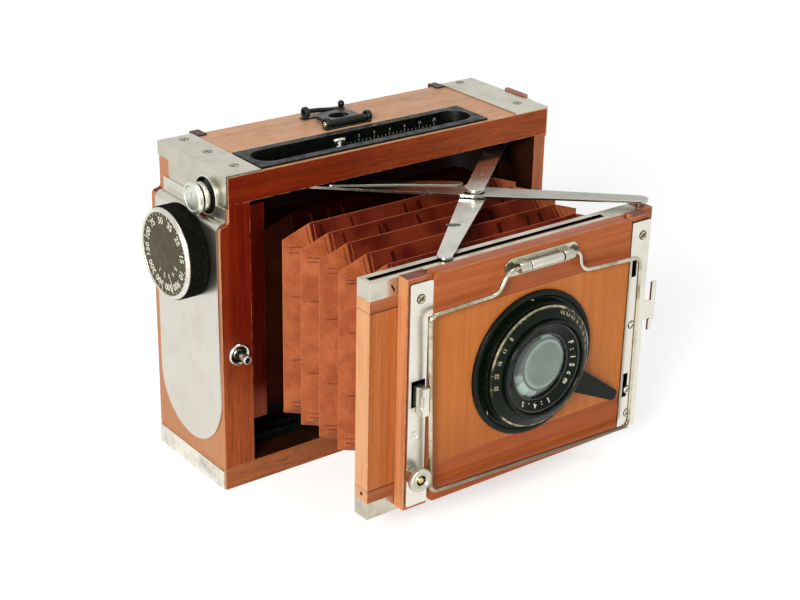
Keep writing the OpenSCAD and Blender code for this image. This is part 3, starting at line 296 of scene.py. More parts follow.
def pleated_leather():
    """Bellows leather: orange sides and dark top folds, with painted shadow where it lies inside the body."""
    look = Look("bellows_leather")
    cells = look.cells(1500)
    cloud = look.spots(110, 0.3, 0.75, detail=5, roughness=0.6)
    look.colour(look.mix(cloud, (0.36, 0.082, 0.024), (0.56, 0.155, 0.054)))
    up = look.steps(look.facing(Z), 0.25, 0.45)
    straight = look.steps(look.math("ABSOLUTE", look.facing(X)), 0.13, 0.06)
    dark_top = look.mix(look.spots(55, 0.35, 0.65, detail=4), (0.080, 0.0045, 0.0015), (0.185, 0.024, 0.007))
    look.lay(dark_top, look.times(up, straight))
    look.lay((0.10, 0.02, 0.008), look.steps(cells, 0.55, 0.15, 0, 0.25))
    # Lighter lines along the folds' edges: partly wear, partly a painted highlight.
    look.lay((0.60, 0.21, 0.09), look.worn_edges(0.0006, 420, 0.2, 0.45, 8), 0.6)
    # Painted shadow: inside the body, behind its front edge, the leather is laid near black and loses its
    # sheen, as the shade there.
    inside = look.steps(look.place(Y), -0.031, -0.026, 0, 0.97)
    look.lay((0.006, 0.0003, 0.0002), inside)
    dull = look.math("MAXIMUM", inside, look.times(up, 0.7))
    look.link(look.times(look.math("SUBTRACT", 1, dull), 0.2), look.shader.inputs["Specular IOR Level"])
    look.roughness(0.5, 0.75, 420)
    look.bump(cells, 0.00012, 0.55)
    look.bump(look.noise(260), 0.0004, 0.3)
    return look.material


def cloth(name, colour):
    """A rubbered blind: a fine plain weave under a dull coat."""
    threads_per_m, full_turn = 2600, 6.2832
    look = Look(name, Sheen_Weight=0.2, Specular_IOR_Level=0.2)
    waves = []
    for direction in ("X", "Z"):
        wave = look.add("ShaderNodeTexWave", bands_direction=direction)
        wave.inputs["Scale"].default_value = threads_per_m / full_turn
        look.link(look.coordinates, wave.inputs["Vector"])
        waves.append(wave.outputs["Fac"])
    weave = look.times(*waves)
    look.colour(look.mix(look.noise(90, detail=4), colour, toned(colour, 2.2)))
    look.link(look.steps(weave, 0, 1, 0.85, 0.65), look.shader.inputs["Roughness"])
    look.bump(weave, 0.00008, 0.6)
    return look.material


def glass(name, tint, rough, frost=0.0):
    """Clear or frosted glass with a little dust."""
    look = Look(name, Transmission_Weight=1.0, IOR=1.52)
    dust = look.spots(500, 0.55, 0.8, detail=4)
    look.colour(look.mix(look.times(dust, 0.25), tint, toned(tint, 0.8)))
    look.roughness(rough, rough + 0.06, 200)
    if frost:
        look.bump(look.noise(3500, detail=2), 0.00004, frost)
    return look.material


def painted_reflection_glass():
    """Painted reflections deep in the lens: a pale disc in a dark zone with four bright glints, laid as
    colour.
    """
    centre = (0.0060, 0.0689)
    painted_glints = ((-0.0032, 0.0612, 0.0042, (0.62, 0.72, 0.68)),
                    (0.0072, 0.0800, 0.0034, (0.34, 0.44, 0.44)),
                    (0.0005, 0.0585, 0.0026, (0.44, 0.50, 0.47)),
                    (-0.0062, 0.0660, 0.0024, (0.34, 0.42, 0.38)))
    look = Look("lens_painted_reflections", Coat_Weight=0.2, Coat_Roughness=0.06, Specular_IOR_Level=0.15)
    haze = look.times(look.math("SUBTRACT", look.noise(120, detail=4), 0.5), 0.003)
    disc = look.plus(look.away(*centre), look.times(haze, 0.25))
    inner = look.mix(look.spots(70, 0.3, 0.7), (0.115, 0.17, 0.13), (0.185, 0.255, 0.205))
    inner = look.mix(look.steps(disc, 0.0082, 0.0096), inner, (0.33, 0.42, 0.36))
    outer = look.mix(look.spots(90, 0.42, 0.62), (0.008, 0.020, 0.012), (0.055, 0.092, 0.070))
    # Painted reflections: four bright glints laid over the dark zone.
    for x, z, reach, tint in painted_glints:
        spot = look.plus(look.away(x, z), haze)
        outer = look.mix(look.steps(spot, reach, reach * 0.55), outer, tint)
    outer = look.mix(look.steps(disc, 0.0106, 0.0111), (0.010, 0.018, 0.013), outer)
    look.colour(look.mix(look.steps(disc, 0.0098, 0.0101), inner, outer))
    look.roughness(0.14, 0.24, 250, detail=2)
    look.bump(look.noise(90, detail=1), 0.0003, 0.08)
    return look.material


FIGURE = dict(detail=5, roughness=0.62, distortion=0.35)
WOOD_WORN = (0.72, 0.34, 0.13)


def lens_board_wood():
    """Orange cedar with upright grain, between rails with level grain at its top and foot."""
    top_joint, foot_joint = 0.1012, 0.0391
    look = Look("wood_lens_board", Coat_Weight=0.08, Coat_Roughness=0.2, Specular_IOR_Level=0.2)
    height = look.place(Z)
    foot = look.steps(height, foot_joint, foot_joint - 0.0003)
    rail = look.plus(look.steps(height, top_joint, top_joint + 0.0004), foot)
    grains = []
    for axis, dark, light in (("z", (0.575, 0.160, 0.023), (0.665, 0.207, 0.034)),
                              ("x", (0.38, 0.074, 0.015), (0.56, 0.145, 0.030))):
        grain = look.mix(look.spots(along(axis, 6, 260), 0.3, 0.7, **FIGURE), dark, light)
        pores = look.spots(along(axis, 110, 2600), 0.58, 0.72, detail=1)
        grains += [look.mix(look.times(pores, 0.22), grain, toned(dark, 0.5)), pores]
    upright, upright_pores, level, level_pores = grains
    level = look.mix(foot, level, (0.96, 0.84, 0.36), "MULTIPLY")
    # Painted shade: the board turns darker toward its lower left.
    painted_shade = look.times(look.steps(height, 0.068, 0.040, 0, 0.55),
                        look.steps(look.place(X), 0.025, -0.03, 0.25, 1))
    look.colour(look.mix(rail, look.mix(painted_shade, upright, (0.40, 0.085, 0.012)), level))
    look.lay((0.10, 0.025, 0.008), look.seam(rail))
    look.lay((0.20, 0.045, 0.010), look.spots(55, 0.58, 0.8, detail=4), 0.25)
    look.lay(WOOD_WORN, look.worn_edges(), 0.5)
    look.roughness(0.3, 0.46, 90, 0.75, 4)
    look.bump(look.mix(rail, upright_pores, level_pores), 0.0001, -0.5)
    look.bump(look.noise(60, detail=1), 0.0006, 0.25)
    return look.material


def standard_wood():
    """The carrier's wood: a left post with upright grain between level rails, its outer side painted lighter
    as lit from the left.
    """
    post_end, top_joint, foot_joint = -0.0545, 0.1053, 0.0322
    look = Look("wood_standard", Coat_Weight=0.06, Coat_Roughness=0.2, Specular_IOR_Level=0.14)
    height = look.place(Z)
    rail = look.math("SUBTRACT", 1, look.steps(look.place(X), post_end, post_end - 0.001))
    rail = look.math("MAXIMUM", rail, look.steps(height, top_joint, top_joint + 0.001))
    rail = look.math("MAXIMUM", rail, look.steps(height, foot_joint, foot_joint - 0.0009))
    grains = []
    for axis, dark, light in (("z", (0.42, 0.112, 0.024), (0.61, 0.195, 0.050)),
                              ("x", (0.32, 0.085, 0.03), (0.48, 0.15, 0.055))):
        grain = look.mix(look.spots(along(axis, 7, 300), 0.3, 0.7, **FIGURE), dark, light)
        streaks = look.spots(along(axis, 45, 1700), 0.45, 0.75, detail=2, roughness=0.7)
        grains.append(look.mix(look.times(streaks, 0.3), grain, toned(dark, 0.5)))
    look.colour(look.mix(rail, *grains))
    # Painted light: the outer side takes lighter colours, with red-brown grain on them, as lit from the left.
    outer = look.outer_side(0.6, 0.9, 0.75)
    look.lay(look.mix(look.noise(along("z", 8, 240), detail=4), (0.80, 0.36, 0.155), (0.96, 0.57, 0.30)),
             outer)
    look.lay((0.40, 0.13, 0.045), look.times(look.spots(along("z", 30, 900), 0.57, 0.72, 0, 0.5), outer))
    look.lay((0.04, 0.008, 0.004), look.times(look.seam(rail), look.steps(outer, 0.75, 0.0, 0.5, 1.0)))
    look.lay((0.95, 0.55, 0.28), look.worn_edges(), 0.5)
    look.roughness(0.34, 0.5, 90, 0.75, 4)
    look.bump(look.noise(along("z", 60, 1500), detail=2), 0.00012, 0.4)
    return look.material


def stile_wood():
    """Rosy upright stile: its outer side painted lighter as lit from the left, its top end grain dark."""
    look = Look("wood_stile", Coat_Weight=0.08, Coat_Roughness=0.2, Specular_IOR_Level=0.16)
    figure = look.spots(along("z", 8, 320), 0.3, 0.7, **FIGURE)
    streaks = look.noise(along("z", 45, 1700), detail=2, roughness=0.7)
    look.colour(look.mix(figure, (0.36, 0.075, 0.024), (0.58, 0.17, 0.062)))
    look.lay((0.20, 0.04, 0.014), look.steps(streaks, 0.45, 0.75), 0.35)
    # Painted light: the outer side is laid in lighter colours, as lit from the left.
    look.lay(look.mix(figure, (0.53, 0.185, 0.070), (0.78, 0.35, 0.155)), look.outer_side(0.5, 0.85, 0.9))
    end_grain = look.mix(look.steps(look.cells(900), 0.1, 0.5), (0.11, 0.022, 0.010), (0.22, 0.055, 0.028))
    look.lay(end_grain, look.steps(look.facing(Z), 0.6, 0.9))
    # Edges laid very light: partly wear, partly a painted highlight on the rounded edges.
    look.lay((0.95, 0.50, 0.25), look.worn_edges(), 0.6)
    look.roughness(0.32, 0.5, 90, 0.75, 4)
    look.bump(streaks, 0.00012, 0.4)
    return look.material


# Painted light: the lighter colour of the outer (left) sides, where the key light falls.
LIT_SIDE = (0.70, 0.31, 0.145)
PALE_PLATE = (0.69, 0.67, 0.60)
MAHOGANY = dict(dark=(0.13, 0.006, 0.001), middle=(0.25, 0.016, 0.003), light=(0.46, 0.105, 0.020),
                worn=WOOD_WORN)
top_wood = wood("wood_top", "x", lit_top=(0.88, 0.485, 0.27), ramp=(X, -0.07, 0.07), inside=(Z, -1),
                lit_side=LIT_SIDE, **MAHOGANY)
base_wood = wood("wood_base", "x", (0.16, 0.02, 0.006), (0.32, 0.075, 0.020), (0.50, 0.17, 0.055),
                 ramp=(X, 0.02, -0.07), inside=(Z, 1), lit_side=LIT_SIDE)
left_wood = wood("wood_left", "z", ramp=(Z, 0.075, 0.03), inside=(X, 1), lit_side=LIT_SIDE, **MAHOGANY)
right_wood = wood("wood_right", "z", (0.34, 0.09, 0.035), (0.48, 0.15, 0.06), (0.56, 0.20, 0.09),
                  inside=(X, -1))
back_wood = wood("wood_back", "x", **MAHOGANY)
inner_wood = wood("wood_inner", "x", (0.006, 0.002, 0.001), (0.016, 0.004, 0.002), (0.03, 0.008, 0.005))
cheek_wood = wood("wood_cheek", "z", (0.26, 0.008, 0.004), (0.50, 0.020, 0.010), (0.85, 0.22, 0.09),
                  ramp=(Z, 0.036, 0.020))
board_wood = lens_board_wood()
frame_wood = standard_wood()
stile_z = stile_wood()

nickel = metal("nickel_plate", (0.53, 0.51, 0.42), (0.46, 0.44, 0.35), (0.24, 0.36))
pale_nickel = metal("nickel_pale", PALE_PLATE, (0.61, 0.59, 0.51), (0.28, 0.38), spots=0.1)
strut_nickel = metal("nickel_struts", (0.60, 0.60, 0.54), (0.50, 0.49, 0.43), (0.2, 0.33), spots=0.2,
                     edge_light_gain=1.5)
long_nickel = metal("nickel_long_arm", (0.38, 0.37, 0.32), (0.29, 0.285, 0.24), (0.18, 0.3), spots=0.2,
                    edge_light_gain=1.9)
knob_nickel = metal("nickel_knob", (0.72, 0.72, 0.64), (0.60, 0.60, 0.52), (0.34, 0.44), spots=0.2)
worn_nickel = metal("nickel_worn", (0.72, 0.70, 0.63), (0.40, 0.39, 0.34), (0.28, 0.45), spots=0.6)
cover_nickel = metal("nickel_cover", (0.61, 0.585, 0.52), (0.565, 0.54, 0.465), (0.28, 0.36), spots=0.06)
bright_nickel = metal("nickel_bright", (0.66, 0.65, 0.58), (0.52, 0.51, 0.44), (0.2, 0.34), spots=0.2)
wire_metal = metal("wire_metal", (0.58, 0.54, 0.42), (0.25, 0.21, 0.12), (0.16, 0.34), spots=0.8,
                   below=(0.027, (0.16, 0.125, 0.075)))
alloy = metal("light_alloy", (0.56, 0.53, 0.44), (0.41, 0.38, 0.30), (0.25, 0.42), brushed="x",
              slot=(-0.0690, 0.0470, -0.1012, 0.0014))
screw_brass = metal("screw_brass", (0.52, 0.46, 0.30), (0.30, 0.25, 0.14), (0.25, 0.4), edge_light_gain=0.5,
                    below=(0.060, PALE_PLATE))
brass = metal("brass", (0.62, 0.47, 0.22), (0.38, 0.27, 0.12), (0.2, 0.42))
worn_brass = metal("worn_brass", (0.02, 0.025, 0.018), (0.62, 0.54, 0.34), (0.25, 0.45), edge_light_gain=1)

olive = enamel("dark_olive", (0.05, 0.055, 0.03), (0.3, 0.3, 0.2), (0.25, 0.4), shine=0.4)
black_enamel = enamel("black_enamel", (0.0020, 0.0030, 0.0022), (0.22, 0.20, 0.14))
black_alloy = enamel("black_alloy", (0.0026, 0.0056, 0.0030), (0.17, 0.17, 0.13), (0.2, 0.32), 0.5, 0.12)
catch_bronze = enamel("catch_bronze", (0.055, 0.020, 0.010), (0.40, 0.25, 0.12), (0.3, 0.45), 0.6, 0.2)
sight_black = enamel("sight_black", (0.0040, 0.0070, 0.0052), (0.15, 0.20, 0.17), (0.16, 0.30), 0.9, 0.30)
lens_rim = enamel("lens_rim", (0.003, 0.005, 0.003), (0.35, 0.36, 0.30), (0.10, 0.18), 0.35, 0.5)
scale_brass = enamel("scale_brass", (0.42, 0.37, 0.22), (0.2, 0.17, 0.1), (0.4, 0.6), 0.2)
drum_paint = enamel("drum_paint", (0.0020, 0.0018, 0.0012), (0.05, 0.045, 0.03), (0.45, 0.65), 0.4, 0.06)
dial_paint = enamel("dial_paint", (0.060, 0.050, 0.028), (0.2, 0.2, 0.16), (0.45, 0.65), 0.3, 0.2)
black_wood = enamel("black_wood", (0.004, 0.003, 0.003), (0.08, 0.05, 0.03), (0.5, 0.7))
index_paint = enamel("index_paint", (0.80, 0.80, 0.74), (0.5, 0.5, 0.45), (0.3, 0.5), 0.3)
scale_paint = enamel("scale_paint", (0.34, 0.33, 0.27), (0.2, 0.19, 0.15), (0.4, 0.6), 0.3)
white_paint = enamel("white_paint", (0.66, 0.63, 0.52), (0.5, 0.48, 0.40), (0.4, 0.6), 0.2)
dark_tape = enamel("dark_tape", (0.034, 0.0035, 0.0015), (0.10, 0.02, 0.008), (0.7, 0.9), 0.3, 0.03)

lid_leather = leather("lid_leather", (0.006, 0.006, 0.005), (0.03, 0.028, 0.024), grain=2600)
strap_leather = leather("strap_leather", (0.27, 0.095, 0.05), (0.50, 0.24, 0.145), 1100, (0.4, 0.6))
thread = leather("thread", (0.10, 0.018, 0.008), (0.17, 0.038, 0.016), grain=4000)
strap_thread = leather("strap_thread", (0.30, 0.20, 0.12), (0.42, 0.30, 0.19), grain=4000)
bellows_leather = pleated_leather()
blind_cloth = cloth("blind_cloth", (0.010, 0.010, 0.011))
lens_glass = glass("lens_glass", (0.90, 0.96, 0.92), 0.0)
frosted = glass("frosted_glass", (0.93, 0.95, 0.94), 0.45, frost=0.5)
painted_reflections = painted_reflection_glass()


# Rounded edges, and the look of each node that stays

def round_edges(made, width, angle=35, segments=2):
    """Rounds the edges that are sharper than an angle. The width is in millimetres."""
    bevel = made.modifiers.new("bevel", "BEVEL")
    bevel.width = width * MM
    bevel.segments = segments
    bevel.limit_method = "ANGLE"
    bevel.angle_limit = math.radians(angle)
    return bevel


NODE_LOOKS = {
    top_wood: "top_board",
    base_wood: "bottom_board",
    left_wood: "left_end_board",
    right_wood: "right_end_board",
    back_wood: "back_frame",
    inner_wood: "bellows_frame",
    frame_wood: "standard_frame",
    stile_z: "left_stile right_stile",
    board_wood: "lens_board",
    nickel: "upper_corner_plates corner_screws handle_lugs finder_hinge",
    worn_nickel: "lower_corner_plates",
    cover_nickel: "cover_plate",
    pale_nickel: "left_strip right_strip finder_catch release_escutcheon",
    bright_nickel: "release_plunger tension_knob lock_knob",
    strut_nickel: "upper_rear_strut lower_rear_strut",
    long_nickel: "upper_front_strut lower_front_strut",
    wire_metal: "wire_finder",
    alloy: "top_rail bottom_rail",
    screw_brass: "strip_screws",
    brass: "tripod_bush dial_arbor roller_pinion",
    black_enamel: "focus_scale_tray upper_strut_track lower_strut_track shutter_guides",
    catch_bronze: "back_catches",
    sight_black: "sight_base sight_leaf",
    lid_leather: "back_lid",
    black_alloy: "speed_dial cross_slide_plate lens_flange lens_barrel front_bezel iris_blades aperture_ring "
                 "focus_ring flange_screws index_slider",
    black_wood: "winding_roller spring_roller",
    blind_cloth: "shutter_curtain",
    strap_leather: "handle_strap",
    bellows_leather: "bellows",
    lens_glass: "front_glass rear_glass",
    frosted: "ground_glass",
}
FINE_EDGE = (0.16,)
EDGES = {"top_board": (0.5,), "bottom_board": (0.5,), "left_end_board": (0.45,), "right_end_board": (0.45,),
         "back_frame": (0.5,), "standard_frame": (0.4,), "left_stile": (0.4,), "right_stile": (0.4,),
         "lens_board": (0.45,), "cover_plate": (0.8, 12, 4)}
for material, names in NODE_LOOKS.items():
    for name in names.split():
        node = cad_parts[name]
        for place in node.material_slots:
            place.material = material
        node.modifiers.new("weld", "WELD").merge_threshold = 0.00001
        if name not in ("upper_corner_plates", "lower_corner_plates"):
            round_edges(node, *EDGES.get(name, FINE_EDGE)).harden_normals = True


# Meshes

def shade(mesh, angle):
    mesh.polygons.foreach_set("use_smooth", [True] * len(mesh.polygons))
    mesh.set_sharp_from_angle(angle=math.radians(angle))


def placed(name, data):
    made = bpy.data.objects.new(name, data)
    scene.collection.objects.link(made)
    return made


def piece(name, vertices, faces, material, body, slot, smooth=40):
    """A mesh piece from points in millimetres, which rides on a CAD body."""
    mesh = bpy.data.meshes.new(name)
    mesh.from_pydata([Vector(v) * MM for v in vertices], [], faces)
    build = bmesh.new()
    build.from_mesh(mesh)
    bmesh.ops.remove_doubles(build, verts=build.verts, dist=1e-7)
    bmesh.ops.recalc_face_normals(build, faces=build.faces)
    build.to_mesh(mesh)
    build.free()
    mesh.materials.append(material)
    shade(mesh, smooth)
    made = placed(name, mesh)
    if body:
        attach(made, body)
    return made


def evaluated(made):
    """The mesh of an object with all its modifiers in it."""
    bpy.context.view_layer.update()
    return bpy.data.meshes.new_from_object(made.evaluated_get(bpy.context.evaluated_depsgraph_get()))


def applied(made, angle=40):
    """The piece with its modifiers worked into its mesh."""
    result = evaluated(made)
    made.modifiers.clear()
    made.data = result
    shade(result, angle)


def box_at(low, high):
    x0, y0, z0 = low
    x1, y1, z1 = high
    vertices = [(x, y, z) for x in (x0, x1) for y in (y0, y1) for z in (z0, z1)]
    return vertices, [(0, 1, 3, 2), (4, 6, 7, 5), (0, 4, 5, 1), (2, 3, 7, 6), (0, 2, 6, 4), (1, 5, 7, 3)]


def cut(made, low, high):
    """Takes a box out of the piece."""
    mesh = bpy.data.meshes.new("cutter")
    vertices, faces = box_at(low, high)
    mesh.from_pydata([Vector(v) * MM for v in vertices], [], faces)
    cutter = placed("cutter", mesh)
    taken = made.modifiers.new("cut", "BOOLEAN")
    taken.object = cutter
    taken.solver = "EXACT"
    applied(made)
    bpy.data.objects.remove(cutter)


def rounded(points, radius, steps=3):
    """The same closed outline with each corner rounded as far as its sides leave room."""
    out = []
    for i, p in enumerate(points):
        p = Vector(p)
        a, b = Vector(points[i - 1]) - p, Vector(points[(i + 1) % len(points)]) - p
        reach = min(radius, 0.45 * a.length, 0.45 * b.length)
        if reach < 1e-4 or a.normalized().dot(b.normalized()) < -0.999:
            out.append(p)
            continue
        start, end = p + a.normalized() * reach, p + b.normalized() * reach
        for k in range(steps + 1):
            t = k / steps
            out.append((1 - t) ** 2 * start + 2 * t * (1 - t) * p + t * t * end)
    return out


def turned(name, profile, axis, centre, material, body, slot, steps=128, soften=0.25, flutes=None, smooth=40):
    """A body of revolution from a closed profile of radius and place along the axis.
    flutes is (count, depth, least radius) for a knurled rim."""
    ring = rounded(profile, soften)
    vertices, faces = [], []
    for s in range(steps):
        angle = 2 * math.pi * s / steps
        for r, place in ring:
            if flutes and r > flutes[2]:
                r -= flutes[1] * (0.5 - 0.5 * math.cos(flutes[0] * angle))
            u, v = r * math.cos(angle), r * math.sin(angle)
            vertices.append({"x": (place, centre[1] + u, centre[2] + v),
                             "y": (centre[0] + u, place, centre[2] + v),
                             "z": (centre[0] + u, centre[1] + v, place)}[axis])
    n = len(ring)
    for s in range(steps):
        t = (s + 1) % steps
        for i in range(n):
            j = (i + 1) % n
            if max(ring[i][0], ring[j][0]) > 1e-6:
                faces.append((s * n + i, s * n + j, t * n + j, t * n + i))
    return piece(name, vertices, faces, material, body, slot, smooth)


def prism(name, outline, axis, low, high, material, body, slot, soften=0.2, hole=()):
    """A flat outline extruded along one axis, with rounded edges.
    A hole has as many points as the outline."""
    n = len(outline)
    vertices = []
    for d, points in ((low, outline), (high, outline), (low, hole), (high, hole)):
        vertices += [{"x": (d, a, b), "y": (a, d, b), "z": (a, b, d)}[axis] for a, b in points]

    def band(first, second):
        return [(first + i, first + (i + 1) % n, second + (i + 1) % n, second + i) for i in range(n)]

    faces = band(0, n)
    if hole:
        faces += band(2 * n, 3 * n) + band(0, 2 * n) + band(n, 3 * n)
    else:
        faces += [tuple(range(n)), tuple(range(n, 2 * n))]
    made = piece(name, vertices, faces, material, body, slot)
    if soften:
        round_edges(made, soften, 30)
    return made


def circle(r, steps=16):
    angles = [math.radians(360 * i / steps) for i in range(steps)]
    return [(r * math.cos(a), r * math.sin(a)) for a in angles]


def joined(parts):
    """One list of vertices and faces from several."""
    vertices, faces = [], []
    for more, more_faces in parts:
        base = len(vertices)
        vertices += more
        faces += [tuple(base + i for i in face) for face in more_faces]
    return vertices, faces


def sweep(path, section, closed=False, up=(0, 0, 1)):
    """Vertices and faces of a section carried along a path, square to it."""
    path = [Vector(p) for p in path]
    n, m = len(path), len(section)
    tangents = []
    for i in range(n):
        before = path[i - 1] if i or closed else path[0]
        after = path[(i + 1) % n] if i < n - 1 or closed else path[-1]
        tangents.append((after - before).normalized())
    vertices = []
    side = tangents[0].cross(Vector(up)).normalized()
    for p, t in zip(path, tangents):
        side = (side - t * side.dot(t)).normalized()
        other = side.cross(t).normalized()
        vertices += [tuple(p + side * a + other * b) for a, b in section]
    faces = []
    for i in range(n if closed else n - 1):
        j = (i + 1) % n
        faces += [(i * m + k, i * m + (k + 1) % m, j * m + (k + 1) % m, j * m + k) for k in range(m)]
    if not closed:
        faces += [tuple(range(m)), tuple(range((n - 1) * m, n * m))]
    return vertices, faces


def bar(start, end, half, rise, up=(0, 0, 1)):
    """A straight bar of half width and half height, half and rise."""
    return sweep([start, end], [(-half, -rise), (half, -rise), (half, rise), (-half, rise)], up=up)


def label(name, text, size, origin, right, up, material, body, rise=0.06):
    """Plain figures as thin raised geometry, with their middle at origin."""
    font = bpy.data.curves.new(name, "FONT")
    font.body = text
    font.size = size * MM
    font.align_x = "CENTER"
    font.align_y = "CENTER"
    font.extrude = rise * MM
    font.resolution_u = 3
    font.offset = 0.018 * size * MM
    font.materials.append(material)
    made = placed(name, font)
    right, up = Vector(right).normalized(), Vector(up).normalized()
    out = right.cross(up)
    turn = Matrix((right, up, out)).transposed().to_4x4()
    made.matrix_world = Matrix.Translation(Vector(origin) * MM) @ turn
    mesh = evaluated(made)
    mesh.transform(made.matrix_world)
    bpy.data.objects.remove(made)
    flat = placed(name, mesh)
    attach(flat, body)


# Bellows: eight panels round each fold, each with the raised edge of its stiffener

BELLOWS_Z = 70.0
HALF_WIDE, HALF_HIGH = 61.0, 43.1
FIRST_RIDGE, FOLD, FOLD_DEPTH = -19.4, 6.5, 9.0
PANEL_RISE = 0.13


def bellows_ring(y, inset, rise):
    """Points round one line of the bellows. rise lifts the middle of each panel."""
    w, h = HALF_WIDE - inset, HALF_HIGH - inset
    cx, cz = 13.0 - 1.2 * inset, 4.6 - 0.4 * inset
    corners = [(w, h - cz), (w - cx, h), (-w + cx, h), (-w, h - cz), (-w, -h + cz), (-w + cx, -h),
               (w - cx, -h), (w, -h + cz)]
    ring = []
    for i, a in enumerate(corners):
        a, b = Vector(a), Vector(corners[(i + 1) % 8])
        out = Vector(((b - a).y, -(b - a).x)).normalized()
        if out.dot(a + b) < 0:
            out = -out
        length = (b - a).length
        margin = min(1.6, 0.2 * length)
        for place, lift in ((0, 0), (margin, 0), (margin + 0.35, rise), (length / 2, rise),
                            (length - margin - 0.35, rise), (length - margin, 0)):
            p = a + (b - a) * (place / length) + out * lift
            ring.append((p.x, y, BELLOWS_Z + p.y))
    return ring


def bellows_lines():
    """Place along Y, inset and lift of each line round the bellows, from the body to the standard."""
    turns = [(-4.0, 3.0), (-9.0, FOLD_DEPTH)]
    turns += [(FIRST_RIDGE - i * FOLD, 0.0 if i % 2 == 0 else FOLD_DEPTH) for i in range(11)]
    turns += [(-93.2, FOLD_DEPTH), (-97.2, FOLD_DEPTH)]
    lines = []
    for (y0, d0), (y1, d1) in zip(turns, turns[1:]):
        length = math.hypot(y1 - y0, d1 - d0)
        for place, lift in ((0, 0), (0.7, 0), (1.1, 1), (length / 2, 1), (length - 1.1, 1),
                            (length - 0.7, 0)):
            t = place / length
            lines.append((y0 + (y1 - y0) * t, d0 + (d1 - d0) * t, lift * PANEL_RISE if d0 != d1 else 0))
    lines.append((*turns[-1], 0))
    return lines


def bellows_stitches():
    """Short stitches across the side panels near their corners, and taped joints across the top ones."""
    chance = random.Random(7)
    parts, tapes = [], []
    for k in range(6):
        ridge = FIRST_RIDGE - 2 * FOLD * k
        for side in (-1, 1) if k else ():
            for up in (-1, 1):
                for drop in (7.5, 9.4, 26.0 + 4 * chance.random()):
                    z = BELLOWS_Z + up * (HALF_HIGH - drop - 0.5 * chance.random())
                    start, end = 0.02 + 0.2 * chance.random(), 0.98 - 0.25 * chance.random()
                    a = Vector((side * (HALF_WIDE - 1.8), ridge - 1.6, z))
                    b = Vector((side * (HALF_WIDE - 6.9), ridge - 5.25, z + chance.uniform(-0.3, 0.3)))
                    parts.append(bar(a + (b - a) * start, a + (b - a) * end, 0.1, 0.14))
        for up in (-1, 1):
            for _ in range(5):
                x = chance.uniform(-44, 44)
                wide = chance.uniform(0.25, 0.8)
                a = Vector((x, ridge - 1.2, BELLOWS_Z + up * (HALF_HIGH - 1.24)))
                b = Vector((x + chance.uniform(-0.8, 0.8), ridge - 5.3, BELLOWS_Z + up * (HALF_HIGH - 7.04)))
                tapes.append(bar(a, b, 0.1, wide, (1, 0, 0)))
    return joined(parts), joined(tapes)


lines = bellows_lines()
rings = [bellows_ring(*line) for line in lines]
around = len(rings[0])
faces = [(i * around + k, i * around + (k + 1) % around, (i + 1) * around + (k + 1) % around,
          (i + 1) * around + k) for i in range(len(lines) - 1) for k in range(around)]
pleats = piece("bellows_pleats", sum(rings, []), faces, bellows_leather, None, "leather", 25)
thick = pleats.modifiers.new("thickness", "SOLIDIFY")
thick.thickness = 0.7 * MM
thick.offset = -1
applied(pleats, 25)
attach(pleats, "root")
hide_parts("bellows")
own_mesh(pleats)
stitched, taped = bellows_stitches()
for name, made, material in (("bellows_stitches", stitched, thread), ("bellows_tapes", taped, dark_tape)):
    made = piece(name, *made, material, "root", "leather", 30)
    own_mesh(made)


# Wire finder and its hinge

WIRE_Y, HINGE_Z = -115.2, 112.7
wire_path = [(-14, HINGE_Z), (-18, 104.4), (-50.6, 103.7), (-48.2, 28.8), (57, 25.6), (56.2, 102.4),
             (26.5, 103.9), (23.5, 106.3), (22.5, HINGE_Z)]
smooth_path = [(p[0], WIRE_Y, p[1]) for p in rounded(wire_path, 4.0, 8)]
wire = piece("finder_wire", *sweep(smooth_path, circle(0.85), closed=True, up=(0, 1, 0)),
             wire_metal, "wire_finder", "nickel")
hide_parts("wire_finder")
turned("finder_sleeve", [(0.5, -3.1), (1.9, -3.1), (1.9, 12.9), (0.5, 12.9)], "x", (0, WIRE_Y, HINGE_Z),
       bright_nickel, "wire_finder", "nickel", steps=40)


# Speed dial: a ribbed drum, a bevelled nickel rim and a matt face with plain figures

DIAL = (0, -1.9, 100.6)
FACE_X = -97.1
SPEEDS = "10 15 25 35 50 75 100 150 200 300 500 900".split()
drum = turned("dial_drum", [(3.0, -87.9), (19.1, -87.9), (19.4, -88.3), (19.4, -95.6), (19.0, -96.1),
                            (3.0, -96.1)], "x", DIAL, drum_paint, "dial", "black_alloy", 720, 0.2,
              flutes=(180, 0.22, 18.9), smooth=50)
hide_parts("speed_dial")
turned("dial_rim", [(17.1, -96.0), (18.9, -96.0), (18.95, -96.5), (18.1, -97.6), (17.4, -97.6),
                    (17.1, -97.3)], "x", DIAL, bright_nickel, "dial", "nickel", soften=0.15)
turned("dial_face", [(0, -96.0), (17.2, -96.0), (17.2, FACE_X), (3.2, FACE_X), (3.0, FACE_X - 0.25),
                     (0, FACE_X - 0.3)], "x", DIAL, dial_paint, "dial", "black_alloy", soften=0.08)


def on_dial(angle, radius, out):
    """A point of the dial's face and the directions outwards and around, at an angle in degrees."""
    a = math.radians(angle)
    ray = Vector((0, math.cos(a), math.sin(a)))
    return Vector((FACE_X - out, DIAL[1], DIAL[2])) + ray * radius, ray, ray.cross(Vector((-1, 0, 0)))


